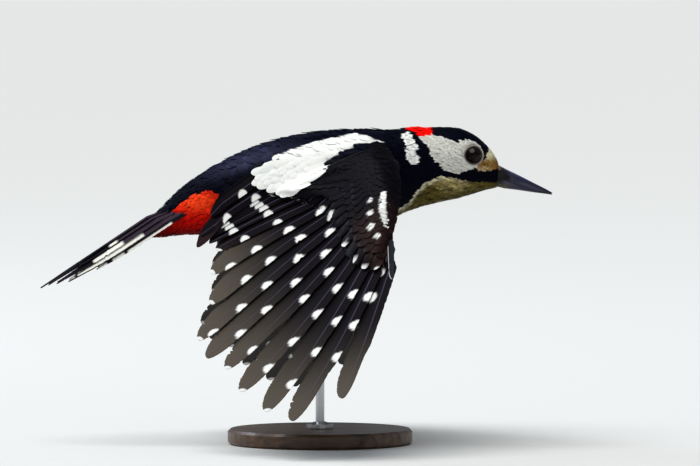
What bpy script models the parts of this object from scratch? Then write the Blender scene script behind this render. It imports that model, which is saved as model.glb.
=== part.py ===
# A male great spotted woodpecker in level flight, wings part way down, held over the floor by
# a plain display stand.  The beak points along +X, up is +Z, and the bird's left side is +Y.
# All sizes below are millimetres; the last step of every builder turns them into metres.
import math

import bmesh
import bpy
import numpy as np

MM = 0.001
GAP = 0.3               # clearance between neighbouring solids
ROOT_GAP = 0.8          # and between a long feather's root and the part it grows from
INNER_GAP = 1.1         # a little more where the inner feathers leave the arm at a slant

# ---- body: one long tube of upright oval sections, cut into rump, trunk, neck and head ----
# each row: x, top of the section, underside, half width
BODY_ROWS = (
    (-78.2, 103.6, 93.4, 4.5),
    (-72.7, 108.3, 93.2, 6.6),
    (-65.9, 115.4, 94.1, 9.0),
    (-59.1, 120.8, 94.6, 11.0),
    (-50.0, 126.8, 94.2, 13.0),
    (-40.9, 131.3, 93.0, 15.0),
    (-31.8, 135.4, 92.1, 16.6),
    (-20.5, 139.2, 91.2, 18.4),
    (-9.1, 141.8, 90.8, 19.6),
    (2.3, 143.4, 91.0, 20.3),
    (13.6, 143.8, 92.6, 20.4),
    (25.0, 144.1, 96.7, 19.4),
    (34.1, 143.9, 102.4, 17.0),
    (38.6, 144.6, 104.9, 15.4),
    (43.2, 145.0, 106.7, 14.0),
    (49.1, 144.6, 108.3, 13.1),
    (54.5, 144.4, 110.0, 13.0),
    (60.0, 144.3, 111.1, 13.2),
    (65.0, 143.6, 112.2, 13.0),
    (69.1, 141.6, 113.4, 12.2),
    (72.7, 139.0, 114.7, 10.9),
    (76.4, 135.5, 115.8, 9.0),
    (79.1, 132.2, 116.3, 7.1),
    (81.3, 127.7, 116.5, 5.2),
)
BODY_SIDES = 24         # points round each oval
OVAL_POWER = 2.15       # 2 is an ellipse, more is squarer
RUMP_END = -78.2
TRUNK_START = -49.0
TRUNK_END = 37.0
NECK_END = 51.0
HEAD_END = 81.3

# ---- eyes ----
EYE_X = 69.6
EYE_Z = 131.9
EYE_Y = 9.15            # how far each eyeball's centre is from the middle plane
EYE_RADIUS = 4.1

# ---- beak: a straight chisel, each half one D-shaped taper ----
# each row: x, ridge of the upper half, line where the halves meet, keel of the lower half, half width
BEAK_ROWS = (
    (81.7, 126.6, 121.9, 116.9, 4.5),
    (85.6, 124.6, 119.9, 116.1, 3.7),
    (91.0, 122.0, 117.5, 115.4, 2.9),
    (97.0, 118.9, 115.4, 114.5, 2.2),
    (102.0, 116.4, 114.5, 113.9, 1.5),
    (105.6, 114.4, 113.95, 113.4, 0.8),
)

# ---- wing: a shallow curved sheet; "out" runs along the span, "aft" along the chord ----
WING_ROOT = (25.0, 19.5, 132.5)     # x, distance from the middle plane, z
CHORD = (-0.8996, -0.4368)          # x and z of the aft direction, one unit long
WING_DIP = 40.0                     # how steeply the wing runs down, degrees
WING_DIP_AT_BODY = 78.0             # next to the flank it hangs almost upright
DIP_FROM = -6.0                     # the steepness changes over this stretch of the span
DIP_TO = 14.0
WING_SAG = 1.6                      # the sheet curls down by this much 100 mm from the fan's centre
FAN_OUT = 11.3                      # where the lines of the feather shafts meet
FAN_AFT = -21.2
SLAT = 1.15                         # each feather lies this far above the next one out
VANE_EDGE = 0.55                    # thickness of a feather's edge
VANE_RIB = 0.80                     # thickness along its shaft

# each row, first primary to ninth: direction of the shaft near the hand and at the tip (degrees
# from straight out), distance of the tip from the fan's centre, width ahead of the shaft, width
# behind it
PRIMARIES = (
    (86.0, 84.9, 111.4, 4.8, 9.6),
    (78.8, 76.7, 120.0, 4.8, 10.0),
    (71.3, 70.6, 135.9, 4.8, 10.0),
    (64.0, 65.6, 140.4, 4.8, 10.0),
    (56.6, 60.1, 140.6, 4.8, 10.0),
    (49.2, 53.9, 148.2, 4.8, 10.0),
    (42.6, 46.9, 154.8, 4.6, 10.0),
    (37.2, 41.3, 157.6, 4.4, 9.0),
    (31.4, 33.6, 144.0, 3.6, 7.6),
)
BEND_FROM = 70.0                    # the shafts start to turn at this distance from the centre
TENTH_FROM = (57.0, 8.9)            # the tenth primary is a stub at the hand's front edge
TENTH_TURN = 17.5
TENTH_LONG = 22.5
FIRST_SECONDARY = 92.0              # direction of the first secondary
INNER_STEP = 4.5                    # the secondaries lie side by side, this far apart
INNER_CLOSING = 0.034               # and draw together by this much for each step aft
INNER_FROM = 50.0
SECONDARY_TIP = 83.6
SECOND_TIP = 85.5
INNER_TIP = 87.5
TERTIAL_TIP = 91.5

# the covered front of the wing: front edge and rear edge of each section, as (out, aft) pairs,
# then the greatest thickness of the section
COVERT_ROWS = (
    (0.0, -7.2, -3.0, 52.0, 8.6),
    (7.0, -8.6, 4.0, 42.5, 9.4),
    (14.0, -9.0, 13.0, 35.0, 9.4),
    (24.0, -6.8, 24.0, 31.5, 8.6),
    (33.0, -3.6, 34.0, 31.0, 7.2),
    (42.5, 1.2, 45.0, 30.5, 5.8),
    (52.0, 7.0, 55.0, 29.5, 4.8),
    (60.5, 12.6, 63.5, 27.0, 4.0),
    (67.0, 16.8, 69.0, 23.6, 3.2),
)
REAR_EDGE = 2.6                     # thickness of the covered part where the long feathers leave it
WRIST_ROW = 4                       # the arm ends and the hand starts at this section
SHOULDER = (30.0, 133.0, -22.0, 118.0, 11.0, 8.0)   # front x and z, rear x and z, depth, thickness

# ---- tail: stiff pointed feathers round a roof-shaped arc ----
TAIL_SLOPE = 33.5                   # degrees down
TAIL_TIP = (-127.0, 71.2)           # x and z of the longest feather's point
TAIL_ARC = 11.0                     # radius of the roof
TAIL_STEP = 2.9                     # spacing round it
# each row: how far short of the longest point, where it leaves the body (same measure), outer
# width, inner width
TAIL_ROWS = (
    (0.0, 60.0, 4.0, 1.2),
    (3.8, 62.0, 3.6, 3.9),
    (7.4, 64.0, 3.4, 3.9),
    (12.5, 66.5, 3.0, 3.9),
    (26.3, 69.5, 1.8, 3.9),
)

# ---- legs, folded against the belly ----
THIGH_AT = (-12.0, 9.5, 95.5)
THIGH_SIZE = (13.0, 6.0, 6.5)
ANKLE = (-20.0, 8.5, 88.5)
TOE_ROOT = (0.5, 8.0, 85.4)
LEG_THICK = 1.45
TOE_THICK = 1.05

# each toe: how far to the side, how far up, how long
TOES = (
    (1.9, 0.2, 11.0),
    (-1.7, 0.4, 12.5),
    (4.0, 1.0, 6.0),
    (-3.8, 1.0, 5.0),
)

# ---- stand ----
BASE_RADIUS = 42.0
BASE_HEIGHT = 7.0
BASE_EDGE = 1.2
ROD_RADIUS = 2.0
ROD_FOOT_RADIUS = 6.0
ROD_FOOT_HEIGHT = 3.0

BLUE_BLACK = (0.012, 0.012, 0.030)
BROWN_BLACK = (0.030, 0.022, 0.028)
WHITE = (0.80, 0.79, 0.74)
RED = (0.65, 0.015, 0.010)


def clear_scene():
    for item in list(bpy.data.objects):
        bpy.data.objects.remove(item, do_unlink=True)


def paint(name, color, roughness):
    material = bpy.data.materials.new(name)
    material.use_nodes = True
    shader = material.node_tree.nodes["Principled BSDF"]
    shader.inputs["Base Color"].default_value = (color[0], color[1], color[2], 1.0)
    shader.inputs["Roughness"].default_value = roughness
    return material


def add_solid(name, points, faces, color, roughness=0.6, smooth=True):
    """One closed mesh object from points in millimetres."""
    mesh = bpy.data.meshes.new(name)
    mesh.from_pydata([tuple(c * MM for c in p) for p in points], [], faces)
    work = bmesh.new()
    work.from_mesh(mesh)
    bmesh.ops.recalc_face_normals(work, faces=work.faces)
    if work.calc_volume(signed=True) < 0.0:
        bmesh.ops.reverse_faces(work, faces=work.faces)
    work.to_mesh(mesh)
    work.free()
    mesh.polygons.foreach_set("use_smooth", [smooth] * len(mesh.polygons))
    mesh.materials.append(paint(name, color, roughness))
    item = bpy.data.objects.new(name, mesh)
    bpy.context.scene.collection.objects.link(item)
    return item


def tube(rings):
    """Points and faces of a closed tube through rings of equal length, flat at both ends."""
    count = len(rings[0])
    points = [tuple(p) for ring in rings for p in ring]
    faces = []
    for row in range(len(rings) - 1):
        for i in range(count):
            j = (i + 1) % count
            low = row * count
            high = low + count
            faces.append((low + i, low + j, high + j, high + i))
    faces.append(tuple(range(count)))
    faces.append(tuple(range((len(rings) - 1) * count, len(rings) * count)))
    return points, faces


def cut(item, cutter):
    """Takes the cutter's space out of the item and keeps the cutter out of sight."""
    step = item.modifiers.new("clearance", "BOOLEAN")
    step.operation = "DIFFERENCE"
    step.solver = "EXACT"
    step.object = cutter
    cutter.hide_render = True
    cutter.display_type = "WIRE"


# ---------------------------------------------------------------- body
def slopes(xs, ys):
    """Slopes of a smooth curve through the rows that never overshoots them."""
    step = np.diff(ys) / np.diff(xs)
    slope = np.zeros(len(ys))
    for i in range(1, len(ys) - 1):
        if step[i - 1] * step[i] > 0:
            slope[i] = 2.0 * step[i - 1] * step[i] / (step[i - 1] + step[i])
    slope[0] = step[0]
    slope[-1] = step[-1]
    return slope


def smooth_column(rows, column, x):
    xs = np.array([row[0] for row in rows])
    ys = np.array([row[column] for row in rows])
    slope = slopes(xs, ys)
    i = int(np.clip(np.searchsorted(xs, x) - 1, 0, len(xs) - 2))
    width = xs[i + 1] - xs[i]
    t = (x - xs[i]) / width
    low = ys[i] * (1 + 2 * t) * (1 - t) ** 2 + slope[i] * width * t * (1 - t) ** 2
    high = ys[i + 1] * t * t * (3 - 2 * t) + slope[i + 1] * width * t * t * (t - 1)
    return float(low + high)


def body_ring(x, grow=0.0):
    top = smooth_column(BODY_ROWS, 1, x) + grow
    low = smooth_column(BODY_ROWS, 2, x) - grow
    wide = smooth_column(BODY_ROWS, 3, x) + grow
    middle = (top + low) / 2.0
    tall = (top - low) / 2.0
    ring = []
    for i in range(BODY_SIDES):
        turn = 2.0 * math.pi * (i + 0.5) / BODY_SIDES
        c = math.cos(turn)
        s = math.sin(turn)
        y = math.copysign(abs(c) ** (2.0 / OVAL_POWER), c) * wide
        z = math.copysign(abs(s) ** (2.0 / OVAL_POWER), s) * tall
        ring.append((x, y, middle + z))
    return ring


def body_piece(name, start, end, color, grow=0.0):
    inside = [row[0] for row in BODY_ROWS if start + 1.2 < row[0] < end - 1.2]
    places = [start] + inside + [end]
    points, faces = tube([body_ring(x, grow) for x in places])
    return add_solid(name, points, faces, color)


def ball(name, centre, radii, color, roughness=0.6, around=16, rows=9):
    """A closed egg shape with a point at each end of its x axis."""
    points = [(centre[0] - radii[0], centre[1], centre[2])]
    for row in range(1, rows):
        turn = math.pi * row / rows
        for i in range(around):
            side = 2.0 * math.pi * i / around
            points.append((
                centre[0] - radii[0] * math.cos(turn),
                centre[1] + radii[1] * math.sin(turn) * math.cos(side),
                centre[2] + radii[2] * math.sin(turn) * math.sin(side),
            ))
    points.append((centre[0] + radii[0], centre[1], centre[2]))
    faces = []
    last = len(points) - 1
    for i in range(around):
        j = (i + 1) % around
        faces.append((0, 1 + j, 1 + i))
        faces.append((last, last - around + i, last - around + j))
        for row in range(rows - 2):
            low = 1 + row * around
            faces.append((low + i, low + j, low + around + j, low + around + i))
    return add_solid(name, points, faces, color, roughness)


def beak_half(name, upper):
    rings = []
    for x, ridge, seam, keel, wide in BEAK_ROWS:
        side = 1.0 if upper else -1.0
        edge = seam + side * GAP / 2.0
        tall = abs((ridge if upper else keel) - edge)
        ring = []
        for i in range(9):
            turn = math.pi * i / 8.0
            y = wide * math.cos(turn)
            z = edge + side * tall * math.sin(turn) ** 0.85 if 0 < i < 8 else edge
            ring.append((x, y, z))
        ring.append((x, 0.0, edge))
        rings.append(ring)
    points, faces = tube(rings)
    return add_solid(name, points, faces, (0.05, 0.055, 0.075), 0.35)


# ---------------------------------------------------------------- wing
def dip_at(out):
    t = min(max((DIP_TO - out) / (DIP_TO - DIP_FROM), 0.0), 1.0)
    return math.radians(WING_DIP + (WING_DIP_AT_BODY - WING_DIP) * t * t * (3.0 - 2.0 * t))


def sheet_path():
    """Sideways and downward travel of the wing sheet, tabulated along the span."""
    outs = np.linspace(-40.0, 180.0, 441)
    step = outs[1] - outs[0]
    dips = np.array([dip_at(out + step / 2.0) for out in outs])
    side = np.concatenate([[0.0], np.cumsum(np.cos(dips[:-1]) * step)])
    down = np.concatenate([[0.0], np.cumsum(np.sin(dips[:-1]) * step)])
    flat = math.radians(WING_DIP)
    at = int(np.searchsorted(outs, DIP_TO))
    side = side - side[at] + outs[at] * math.cos(flat)
    down = down - down[at] + outs[at] * math.sin(flat)
    return outs, side, down


OUTS, SIDEWAYS, DOWNWAYS = sheet_path()


def wing_point(out, aft, lift):
    """A point of the right wing, given by span, chord and height above the sheet."""
    reach = math.hypot(out - FAN_OUT, aft - FAN_AFT)
    lift = lift - WING_SAG * (reach / 100.0) ** 2
    dip = dip_at(out)
    side = float(np.interp(out, OUTS, SIDEWAYS)) + lift * math.sin(dip)
    down = float(np.interp(out, OUTS, DOWNWAYS)) - lift * math.cos(dip)
    x = WING_ROOT[0] + aft * CHORD[0] - down * CHORD[1]
    z = WING_ROOT[2] + aft * CHORD[1] + down * CHORD[0]
    return (x, -(WING_ROOT[1] + side), z)


def turn_at(feather, reach):
    """Direction of a feather's shaft as seen from the fan's centre, at a distance from it."""
    if feather == 0:
        return FIRST_SECONDARY
    if feather == 10:
        return TENTH_TURN
    near, far, tip = PRIMARIES[feather - 1][:3]
    share = min(max((reach - BEND_FROM) / (tip - BEND_FROM), 0.0), 1.0)
    return near + (far - near) * share ** 1.3


def fan_place(feather, reach, across):
    """Span and chord of a spot on a fan feather: across is positive towards the wing's front."""
    turn = math.radians(turn_at(feather, reach))
    start = TENTH_FROM if feather == 10 else (FAN_OUT, FAN_AFT)
    out = start[0] + reach * math.cos(turn) + across * math.sin(turn)
    aft = start[1] + reach * math.sin(turn) - across * math.cos(turn)
    return out, aft


def inner_step(aft):
    return INNER_STEP - INNER_CLOSING * min(max(aft - INNER_FROM, 0.0), 45.0)


def first_line(aft):
    """Span of the first secondary's shaft at a chord position."""
    return FAN_OUT + (aft - FAN_AFT) / math.tan(math.radians(FIRST_SECONDARY))


def feather_number(out, aft):
    """Which feather's shaft a spot is nearest, as a running number: 9 down to 1, then 0, -1 ..."""
    turn = math.degrees(math.atan2(aft - FAN_AFT, out - FAN_OUT))
    if turn > FIRST_SECONDARY:
        return (out - first_line(aft)) / inner_step(aft)
    reach = math.hypot(out - FAN_OUT, aft - FAN_AFT)
    turns = [turn_at(feather, reach) for feather in range(9, -1, -1)]
    if turn < turns[0]:
        return 9.0 + (turns[0] - turn) / 7.0
    return float(np.interp(turn, turns, np.arange(9.0, -1.0, -1.0)))


def rear_edge(out):
    """Chord position of the covered part's rear edge."""
    outs = [row[2] for row in COVERT_ROWS]
    afts = [row[3] for row in COVERT_ROWS]
    return float(np.interp(out, outs, afts))


def tip_shape(t, start):
    """Full width up to start, then a rounded end."""
    if t <= start:
        return 1.0
    return math.sqrt(max(1.0 - ((t - start) / (1.0 - start)) ** 2, 0.0))


def vane_ring(place, number, front, back):
    """Six points round a feather: thin front edge, ribbed middle, thin back edge."""
    ring = []
    for across, side, thick in (
        (-back, -1.0, VANE_EDGE),
        (0.0, -1.0, VANE_EDGE),
        (front, -1.0, VANE_EDGE),
        (front, 1.0, VANE_EDGE),
        (0.0, 1.0, VANE_RIB),
        (-back, 1.0, VANE_EDGE),
    ):
        out, aft = place(across)
        lift = SLAT * max(feather_number(out, aft) - number, -1.4 if number > -3 else -0.7)
        ring.append(wing_point(out, aft, lift + side * thick / 2.0))
    return ring


STATIONS = (0.0, 0.18, 0.38, 0.57, 0.72, 0.85, 0.93, 0.975, 0.997)


def fan_feather(name, feather, tip, front, back, color):
    """A primary: starts at the covered part's rear edge and runs to its rounded tip."""
    rings = []
    for t in STATIONS:
        start = root_reach(feather, 0.0, front, back)
        reach = start + (tip - start) * t

        def place(across, t=t, reach=reach):
            run = root_reach(feather, across, front, back) if t == 0.0 else reach
            return fan_place(feather, run, across)

        narrow = 1.0
        if feather == 9:
            narrow = 1.0 - 0.3 * min(max((t - 0.55) / 0.15, 0.0), 1.0)
        round_front = tip_shape(t, 0.84) * (1.0 - 0.12 * t)
        round_back = tip_shape(t, 0.78) * (1.0 - 0.10 * t)
        wide_front = max(front * round_front * narrow, 0.6)
        wide_back = max(back * round_back, 0.6)
        rings.append(vane_ring(place, feather, wide_front, wide_back))
    points, faces = tube(rings)
    return name, points, faces, color


def under_coverts(out, aft):
    """Whether a spot of the sheet lies inside the outline of the covered front of the wing."""
    edge = [row[0:2] for row in COVERT_ROWS] + [row[2:4] for row in COVERT_ROWS[::-1]]
    inside = False
    for (out_a, aft_a), (out_b, aft_b) in zip(edge, edge[1:] + edge[:1]):
        if (aft_a > aft) != (aft_b > aft):
            if out < out_a + (aft - aft_a) * (out_b - out_a) / (aft_b - aft_a):
                inside = not inside
    return inside


def fan_start(feather, across):
    """Reach at which a line of a fan feather leaves the covered part."""
    if feather == 10:
        return 0.0
    start = 50.0
    for reach in np.arange(50.0, 100.0, 0.2):
        if under_coverts(*fan_place(feather, float(reach), across)):
            start = float(reach)
    return start + ROOT_GAP


def root_reach(feather, across, front, back):
    """Root of a fan feather at its back edge, shaft or front edge, clear between them as well."""
    spots = (-back, -back / 2.0, 0.0, front / 2.0, front)
    starts = [fan_start(feather, spot) for spot in spots]
    if feather == 10:
        return 0.0
    if feather >= 6:
        return max(starts) + ROOT_GAP - GAP
    bulge = 0.0
    for low, half, high in ((0, 1, 2), (2, 3, 4)):
        bulge = max(bulge, starts[half] - (starts[low] + starts[high]) / 2.0)
    return fan_start(feather, across) + bulge


def inner_feather(name, number, tip, front, back, color):
    """A secondary or a stack of them: runs straight aft beside its neighbours."""
    rings = []

    def line(aft):
        return first_line(aft) + inner_step(aft) * number

    start = rear_edge(line(50.0)) + ROOT_GAP
    for t in STATIONS:

        def place(across, t=t):
            aft = start + (tip - start) * t
            if t == 0.0:
                aft = rear_edge(line(start) + across) + ROOT_GAP + INNER_GAP
            return line(aft) + across, aft

        wide_front = max(front * tip_shape(t, 0.75), 0.6)
        wide_back = max(back * tip_shape(t, 0.62), 0.6)
        rings.append(vane_ring(place, number, wide_front, wide_back))
    points, faces = tube(rings)
    return name, points, faces, color


def covert_ring(row, shift=0.0):
    """One airfoil-like section of the covered part, from its front edge to its rear edge."""
    front_out, front_aft, rear_out, rear_aft, thick = row
    ring = []
    across = (0.0, 0.06, 0.20, 0.42, 0.70, 1.0)
    above = (0.0, 0.50, 0.86, 0.84, 0.52)
    below = (0.0, 0.34, 0.46, 0.36, 0.24)
    upper = [(across[i], above[i] * thick) for i in range(5)]
    upper.append((1.0, REAR_EDGE * 0.40))
    lower = [(across[i], -below[i] * thick * 0.6) for i in range(1, 5)]
    lower.append((1.0, -REAR_EDGE * 0.60))
    for share, lift in upper + lower[::-1]:
        out = front_out + (rear_out - front_out) * share + shift
        aft = front_aft + (rear_aft - front_aft) * share
        ring.append(wing_point(out, aft, lift))
    return ring


def shoulder_ring():
    """The arm's inmost section, buried in the trunk: same count of points as a covert ring."""
    front_x, front_z, rear_x, rear_z, deep, thick = SHOULDER
    across = (0.0, 0.06, 0.20, 0.42, 0.70, 1.0)
    above = (0.0, 0.35, 0.65, 0.65, 0.45, 0.12)
    spots = [(across[i], above[i] * thick) for i in range(6)]
    spots += [(across[i], -above[i] * thick * 0.8) for i in range(5, 0, -1)]
    ring = []
    for share, lift in spots:
        x = front_x + (rear_x - front_x) * share
        z = front_z + (rear_z - front_z) * share + lift
        ring.append((x, -deep, z))
    return ring


def between(row, other, share):
    return tuple(a + (b - a) * share for a, b in zip(row, other))


def right_wing():
    """Every piece of the right wing, as (name, points, faces, color)."""
    pieces = []
    wrist = COVERT_ROWS[WRIST_ROW]
    before = between(wrist, COVERT_ROWS[WRIST_ROW - 1], 0.02)
    after = between(wrist, COVERT_ROWS[WRIST_ROW + 1], 0.02)
    arm = [covert_ring(row) for row in COVERT_ROWS[:WRIST_ROW] + (before,)]
    arm.insert(0, shoulder_ring())
    points, faces = tube(arm)
    pieces.append(("arm", points, faces, BLUE_BLACK))
    hand = [covert_ring(row) for row in (after,) + COVERT_ROWS[WRIST_ROW + 1:]]
    points, faces = tube(hand)
    pieces.append(("hand", points, faces, BLUE_BLACK))
    for i, (_, _, tip, front, back) in enumerate(PRIMARIES):
        name = f"primary_{i + 1:02d}"
        pieces.append(fan_feather(name, i + 1, tip, front, back, BROWN_BLACK))
    pieces.append(fan_feather("primary_10", 10, TENTH_LONG, 1.3, 1.2, BROWN_BLACK))
    pieces.append(inner_feather("secondary_1", 0, SECONDARY_TIP, 4.0, 5.4, BROWN_BLACK))
    pieces.append(inner_feather("secondary_2", -1, SECOND_TIP, 2.8, 5.2, BROWN_BLACK))
    pieces.append(inner_feather("secondaries", -2, INNER_TIP, 2.8, 5.0, BROWN_BLACK))
    pieces.append(inner_feather("tertials", -3, TERTIAL_TIP, 2.8, 8.0, BROWN_BLACK))
    return pieces


# ---------------------------------------------------------------- tail
def tail_point(short, around, lift):
    """A point of the right half of the tail: short is measured back from the longest tip."""
    slope = math.radians(TAIL_SLOPE)
    turn = around / TAIL_ARC
    radius = TAIL_ARC + lift
    side = radius * math.sin(turn)
    height = radius * math.cos(turn) - TAIL_ARC
    x = TAIL_TIP[0] + short * math.cos(slope) - height * math.sin(slope)
    z = TAIL_TIP[1] + short * math.sin(slope) + height * math.cos(slope)
    return (x, -side, z)


def tail_feather(name, number, short, start, outer, inner, color):
    rings = []
    for t in (0.0, 0.3, 0.6, 0.8, 0.92, 0.99):
        reach = start + (short - start) * t
        narrow = 1.0 - 0.85 * min(max((t - 0.5) / 0.5, 0.0), 1.0) ** 1.7
        ring = []
        for across, side, thick in (
            (-inner, -1.0, VANE_EDGE),
            (0.0, -1.0, VANE_EDGE),
            (outer, -1.0, VANE_EDGE),
            (outer, 1.0, VANE_EDGE),
            (0.0, 1.0, VANE_RIB),
            (-inner, 1.0, VANE_EDGE),
        ):
            across = across * narrow
            around = TAIL_STEP * (number - 0.5) + across
            lift = SLAT * (around / TAIL_STEP + 0.5 - number)
            ring.append(tail_point(reach, around, lift + side * thick / 2.0))
        rings.append(ring)
    points, faces = tube(rings)
    return name, points, faces, color


def mirrored(points):
    return [(x, -y, z) for x, y, z in points]


def add_both_sides(name, points, faces, color):
    right = add_solid(name + "_right", points, faces, color)
    left = add_solid(name + "_left", mirrored(points), faces, color)
    return right, left


# ---------------------------------------------------------------- legs
def rod_between(ends, radii, sides=8):
    """A round tapering tube through the given points."""
    rings = []
    for i, centre in enumerate(ends):
        here = np.array(centre)
        ahead = np.array(ends[min(i + 1, len(ends) - 1)])
        behind = np.array(ends[max(i - 1, 0)])
        along = ahead - behind
        along = along / np.linalg.norm(along)
        across = np.cross(along, (0.0, 1.0, 0.0))
        across = across / np.linalg.norm(across)
        third = np.cross(along, across)
        ring = []
        for k in range(sides):
            turn = 2.0 * math.pi * k / sides
            spot = here + radii[i] * (math.cos(turn) * across + math.sin(turn) * third)
            ring.append(tuple(spot))
        rings.append(ring)
    return tube(rings)


# ---------------------------------------------------------------- build
clear_scene()

trunk = body_piece("trunk", TRUNK_START + GAP / 2, TRUNK_END - GAP / 2, BLUE_BLACK)
rump = body_piece("rump", RUMP_END, TRUNK_START - GAP / 2, RED)
neck = body_piece("neck", TRUNK_END + GAP / 2, NECK_END - GAP / 2, BLUE_BLACK)
head = body_piece("head", NECK_END + GAP / 2, HEAD_END, WHITE)
beak_half("beak_upper", True)
beak_half("beak_lower", False)

for side, label in ((-1.0, "right"), (1.0, "left")):
    centre = (EYE_X, side * EYE_Y, EYE_Z)
    round_eye = (EYE_RADIUS, EYE_RADIUS, EYE_RADIUS)
    ball("eye_" + label, centre, round_eye, (0.02, 0.008, 0.006), 0.08, 14, 8)
    socket_size = tuple(r + GAP for r in round_eye)
    socket = ball("socket_" + label, centre, socket_size, WHITE, 0.6, 14, 8)
    cut(head, socket)

trunk_space = body_piece("trunk_space", TRUNK_START - 20.0, TRUNK_END + 12.0, WHITE, GAP)
for name, points, faces, color in right_wing():
    pair = add_both_sides(name, points, faces, color)
    if name == "arm":
        for item in pair:
            cut(item, trunk_space)

rump_space = body_piece("rump_space", RUMP_END - GAP, TRUNK_START, WHITE, GAP)
for i, (short, start, outer, inner) in enumerate(TAIL_ROWS):
    piece = tail_feather(f"tail_{i + 1}", i + 1, short, start, outer, inner, BROWN_BLACK)
    for item in add_both_sides(*piece):
        cut(item, rump_space)

# each leg: the feathered thigh, then the bare shank with its toes drawn up in front
for side, label in ((-1.0, "right"), (1.0, "left")):
    thigh = ball("thigh_" + label, (THIGH_AT[0], side * THIGH_AT[1], THIGH_AT[2]), THIGH_SIZE,
                 WHITE, 0.6, 12, 8)
    cut(thigh, trunk_space)
    shank_ends = [
        (ANKLE[0], side * ANKLE[1], ANKLE[2]),
        ((ANKLE[0] + TOE_ROOT[0]) / 2.0, side * ANKLE[1], (ANKLE[2] + TOE_ROOT[2]) / 2.0 - 0.3),
        (TOE_ROOT[0], side * TOE_ROOT[1], TOE_ROOT[2]),
    ]
    points, faces = rod_between(shank_ends, (LEG_THICK, LEG_THICK * 0.85, LEG_THICK))
    shank = add_solid("foot_" + label, points, faces, (0.10, 0.11, 0.12))
    for toe, (apart, rise, reach) in enumerate(TOES):
        start = (TOE_ROOT[0] - 0.6, side * (TOE_ROOT[1] + apart * 0.35), TOE_ROOT[2])
        bend = (TOE_ROOT[0] + reach * 0.45, side * (TOE_ROOT[1] + apart), TOE_ROOT[2] + rise)
        claw = (TOE_ROOT[0] + reach * 0.55, side * (TOE_ROOT[1] + apart * 1.1),
                TOE_ROOT[2] + rise - 3.4)
        points, faces = rod_between([start, bend, claw], (TOE_THICK, TOE_THICK * 0.9, 0.45), 6)
        digit = add_solid(f"toe_{toe}_" + label, points, faces, (0.10, 0.11, 0.12))
        digit.hide_render = True
        digit.display_type = "WIRE"
        join = shank.modifiers.new("toe", "BOOLEAN")
        join.operation = "UNION"
        join.solver = "EXACT"
        join.object = digit


def turned(name, profile, sides, color, roughness):
    """A round upright piece from (radius, height) pairs that start and end off the axis."""
    rings = []
    for radius, height in profile:
        ring = []
        for i in range(sides):
            turn = 2.0 * math.pi * i / sides
            ring.append((radius * math.cos(turn), radius * math.sin(turn), height))
        rings.append(ring)
    points, faces = tube(rings)
    return add_solid(name, points, faces, color, roughness, smooth=False)


turned("stand_base", (
    (BASE_RADIUS - BASE_EDGE, 0.0),
    (BASE_RADIUS, BASE_EDGE),
    (BASE_RADIUS, BASE_HEIGHT - BASE_EDGE),
    (BASE_RADIUS - BASE_EDGE, BASE_HEIGHT),
), 48, (0.16, 0.12, 0.09), 0.5)
rod_top = smooth_column(BODY_ROWS, 2, 0.0) - GAP
turned("stand_rod", (
    (ROD_FOOT_RADIUS, BASE_HEIGHT + GAP),
    (ROD_FOOT_RADIUS, BASE_HEIGHT + GAP + ROD_FOOT_HEIGHT * 0.6),
    (ROD_RADIUS, BASE_HEIGHT + GAP + ROD_FOOT_HEIGHT),
    (ROD_RADIUS, rod_top),
), 16, (0.45, 0.45, 0.47), 0.3)
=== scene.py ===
# %% [markdown]
# # A great spotted woodpecker in level flight
# The finished thing is one life-size bird, as a museum shows it: wings swept down, tail behind,
# feet tucked up, held on a rod over a turned base. The solids of the bird already exist as a fixed
# frame. They give every length and outline, and this lesson dresses them: one skin, thousands of
# small feathers laid over it, long flight and tail feathers, eyes, bill and feet.
# Lengths of the bird are in millimetres, and are turned into metres at the moment a mesh is made.
# Only the room, the camera and the finishes, which Blender reads directly, are given in metres.

# %% Load the fixed frame
import math

import bmesh
import bpy
import numpy as np
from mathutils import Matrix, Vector
from mathutils.bvhtree import BVHTree


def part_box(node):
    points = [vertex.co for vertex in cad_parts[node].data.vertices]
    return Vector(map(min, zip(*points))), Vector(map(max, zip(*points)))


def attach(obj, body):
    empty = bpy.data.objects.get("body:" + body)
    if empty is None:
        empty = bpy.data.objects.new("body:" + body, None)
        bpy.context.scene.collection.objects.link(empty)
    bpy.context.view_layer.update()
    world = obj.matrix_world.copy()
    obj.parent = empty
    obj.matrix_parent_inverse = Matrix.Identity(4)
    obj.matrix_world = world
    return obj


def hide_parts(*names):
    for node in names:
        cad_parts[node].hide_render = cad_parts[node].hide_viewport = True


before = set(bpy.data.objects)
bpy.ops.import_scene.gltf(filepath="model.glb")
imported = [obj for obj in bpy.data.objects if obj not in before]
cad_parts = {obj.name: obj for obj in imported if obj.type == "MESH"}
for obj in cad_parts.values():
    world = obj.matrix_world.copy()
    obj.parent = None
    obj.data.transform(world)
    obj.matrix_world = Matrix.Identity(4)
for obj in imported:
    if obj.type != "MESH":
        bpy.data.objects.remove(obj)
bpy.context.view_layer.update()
MM = 0.001
SIDES = ("right", "left")
chance = np.random.default_rng(41)

# %% [markdown]
# ## Room, light and camera
# A bird of two kinds of black and clean white needs soft light from above, so that the gloss of the
# back shows as a broad sheen and the belly stays in its own shade. Paint helps with both: a blue sheen
# is painted on the back's black, and painted shade darkens the buff of the belly. One hard lamp would
# burn out the white patches and leave the rest without form. A wide soft source overhead is used
# instead, with a weak lamp near the camera and a cool one from the tail's side for the rims.
# The camera has a very long lens, so near and far wing keep almost the same scale.

# %% Floor, air and lamps
FLOOR_HALF = 60.0
PAPER, PAPER_ROUGHNESS = (0.66, 0.67, 0.66), 0.9
AIR_COLOR, AIR_STRENGTH = (0.86, 0.92, 1.0, 1.0), 0.27
SKY_SPREAD = math.radians(55.0)
LAMPS_AIM = (0.0, 0.0, 0.1)


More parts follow.
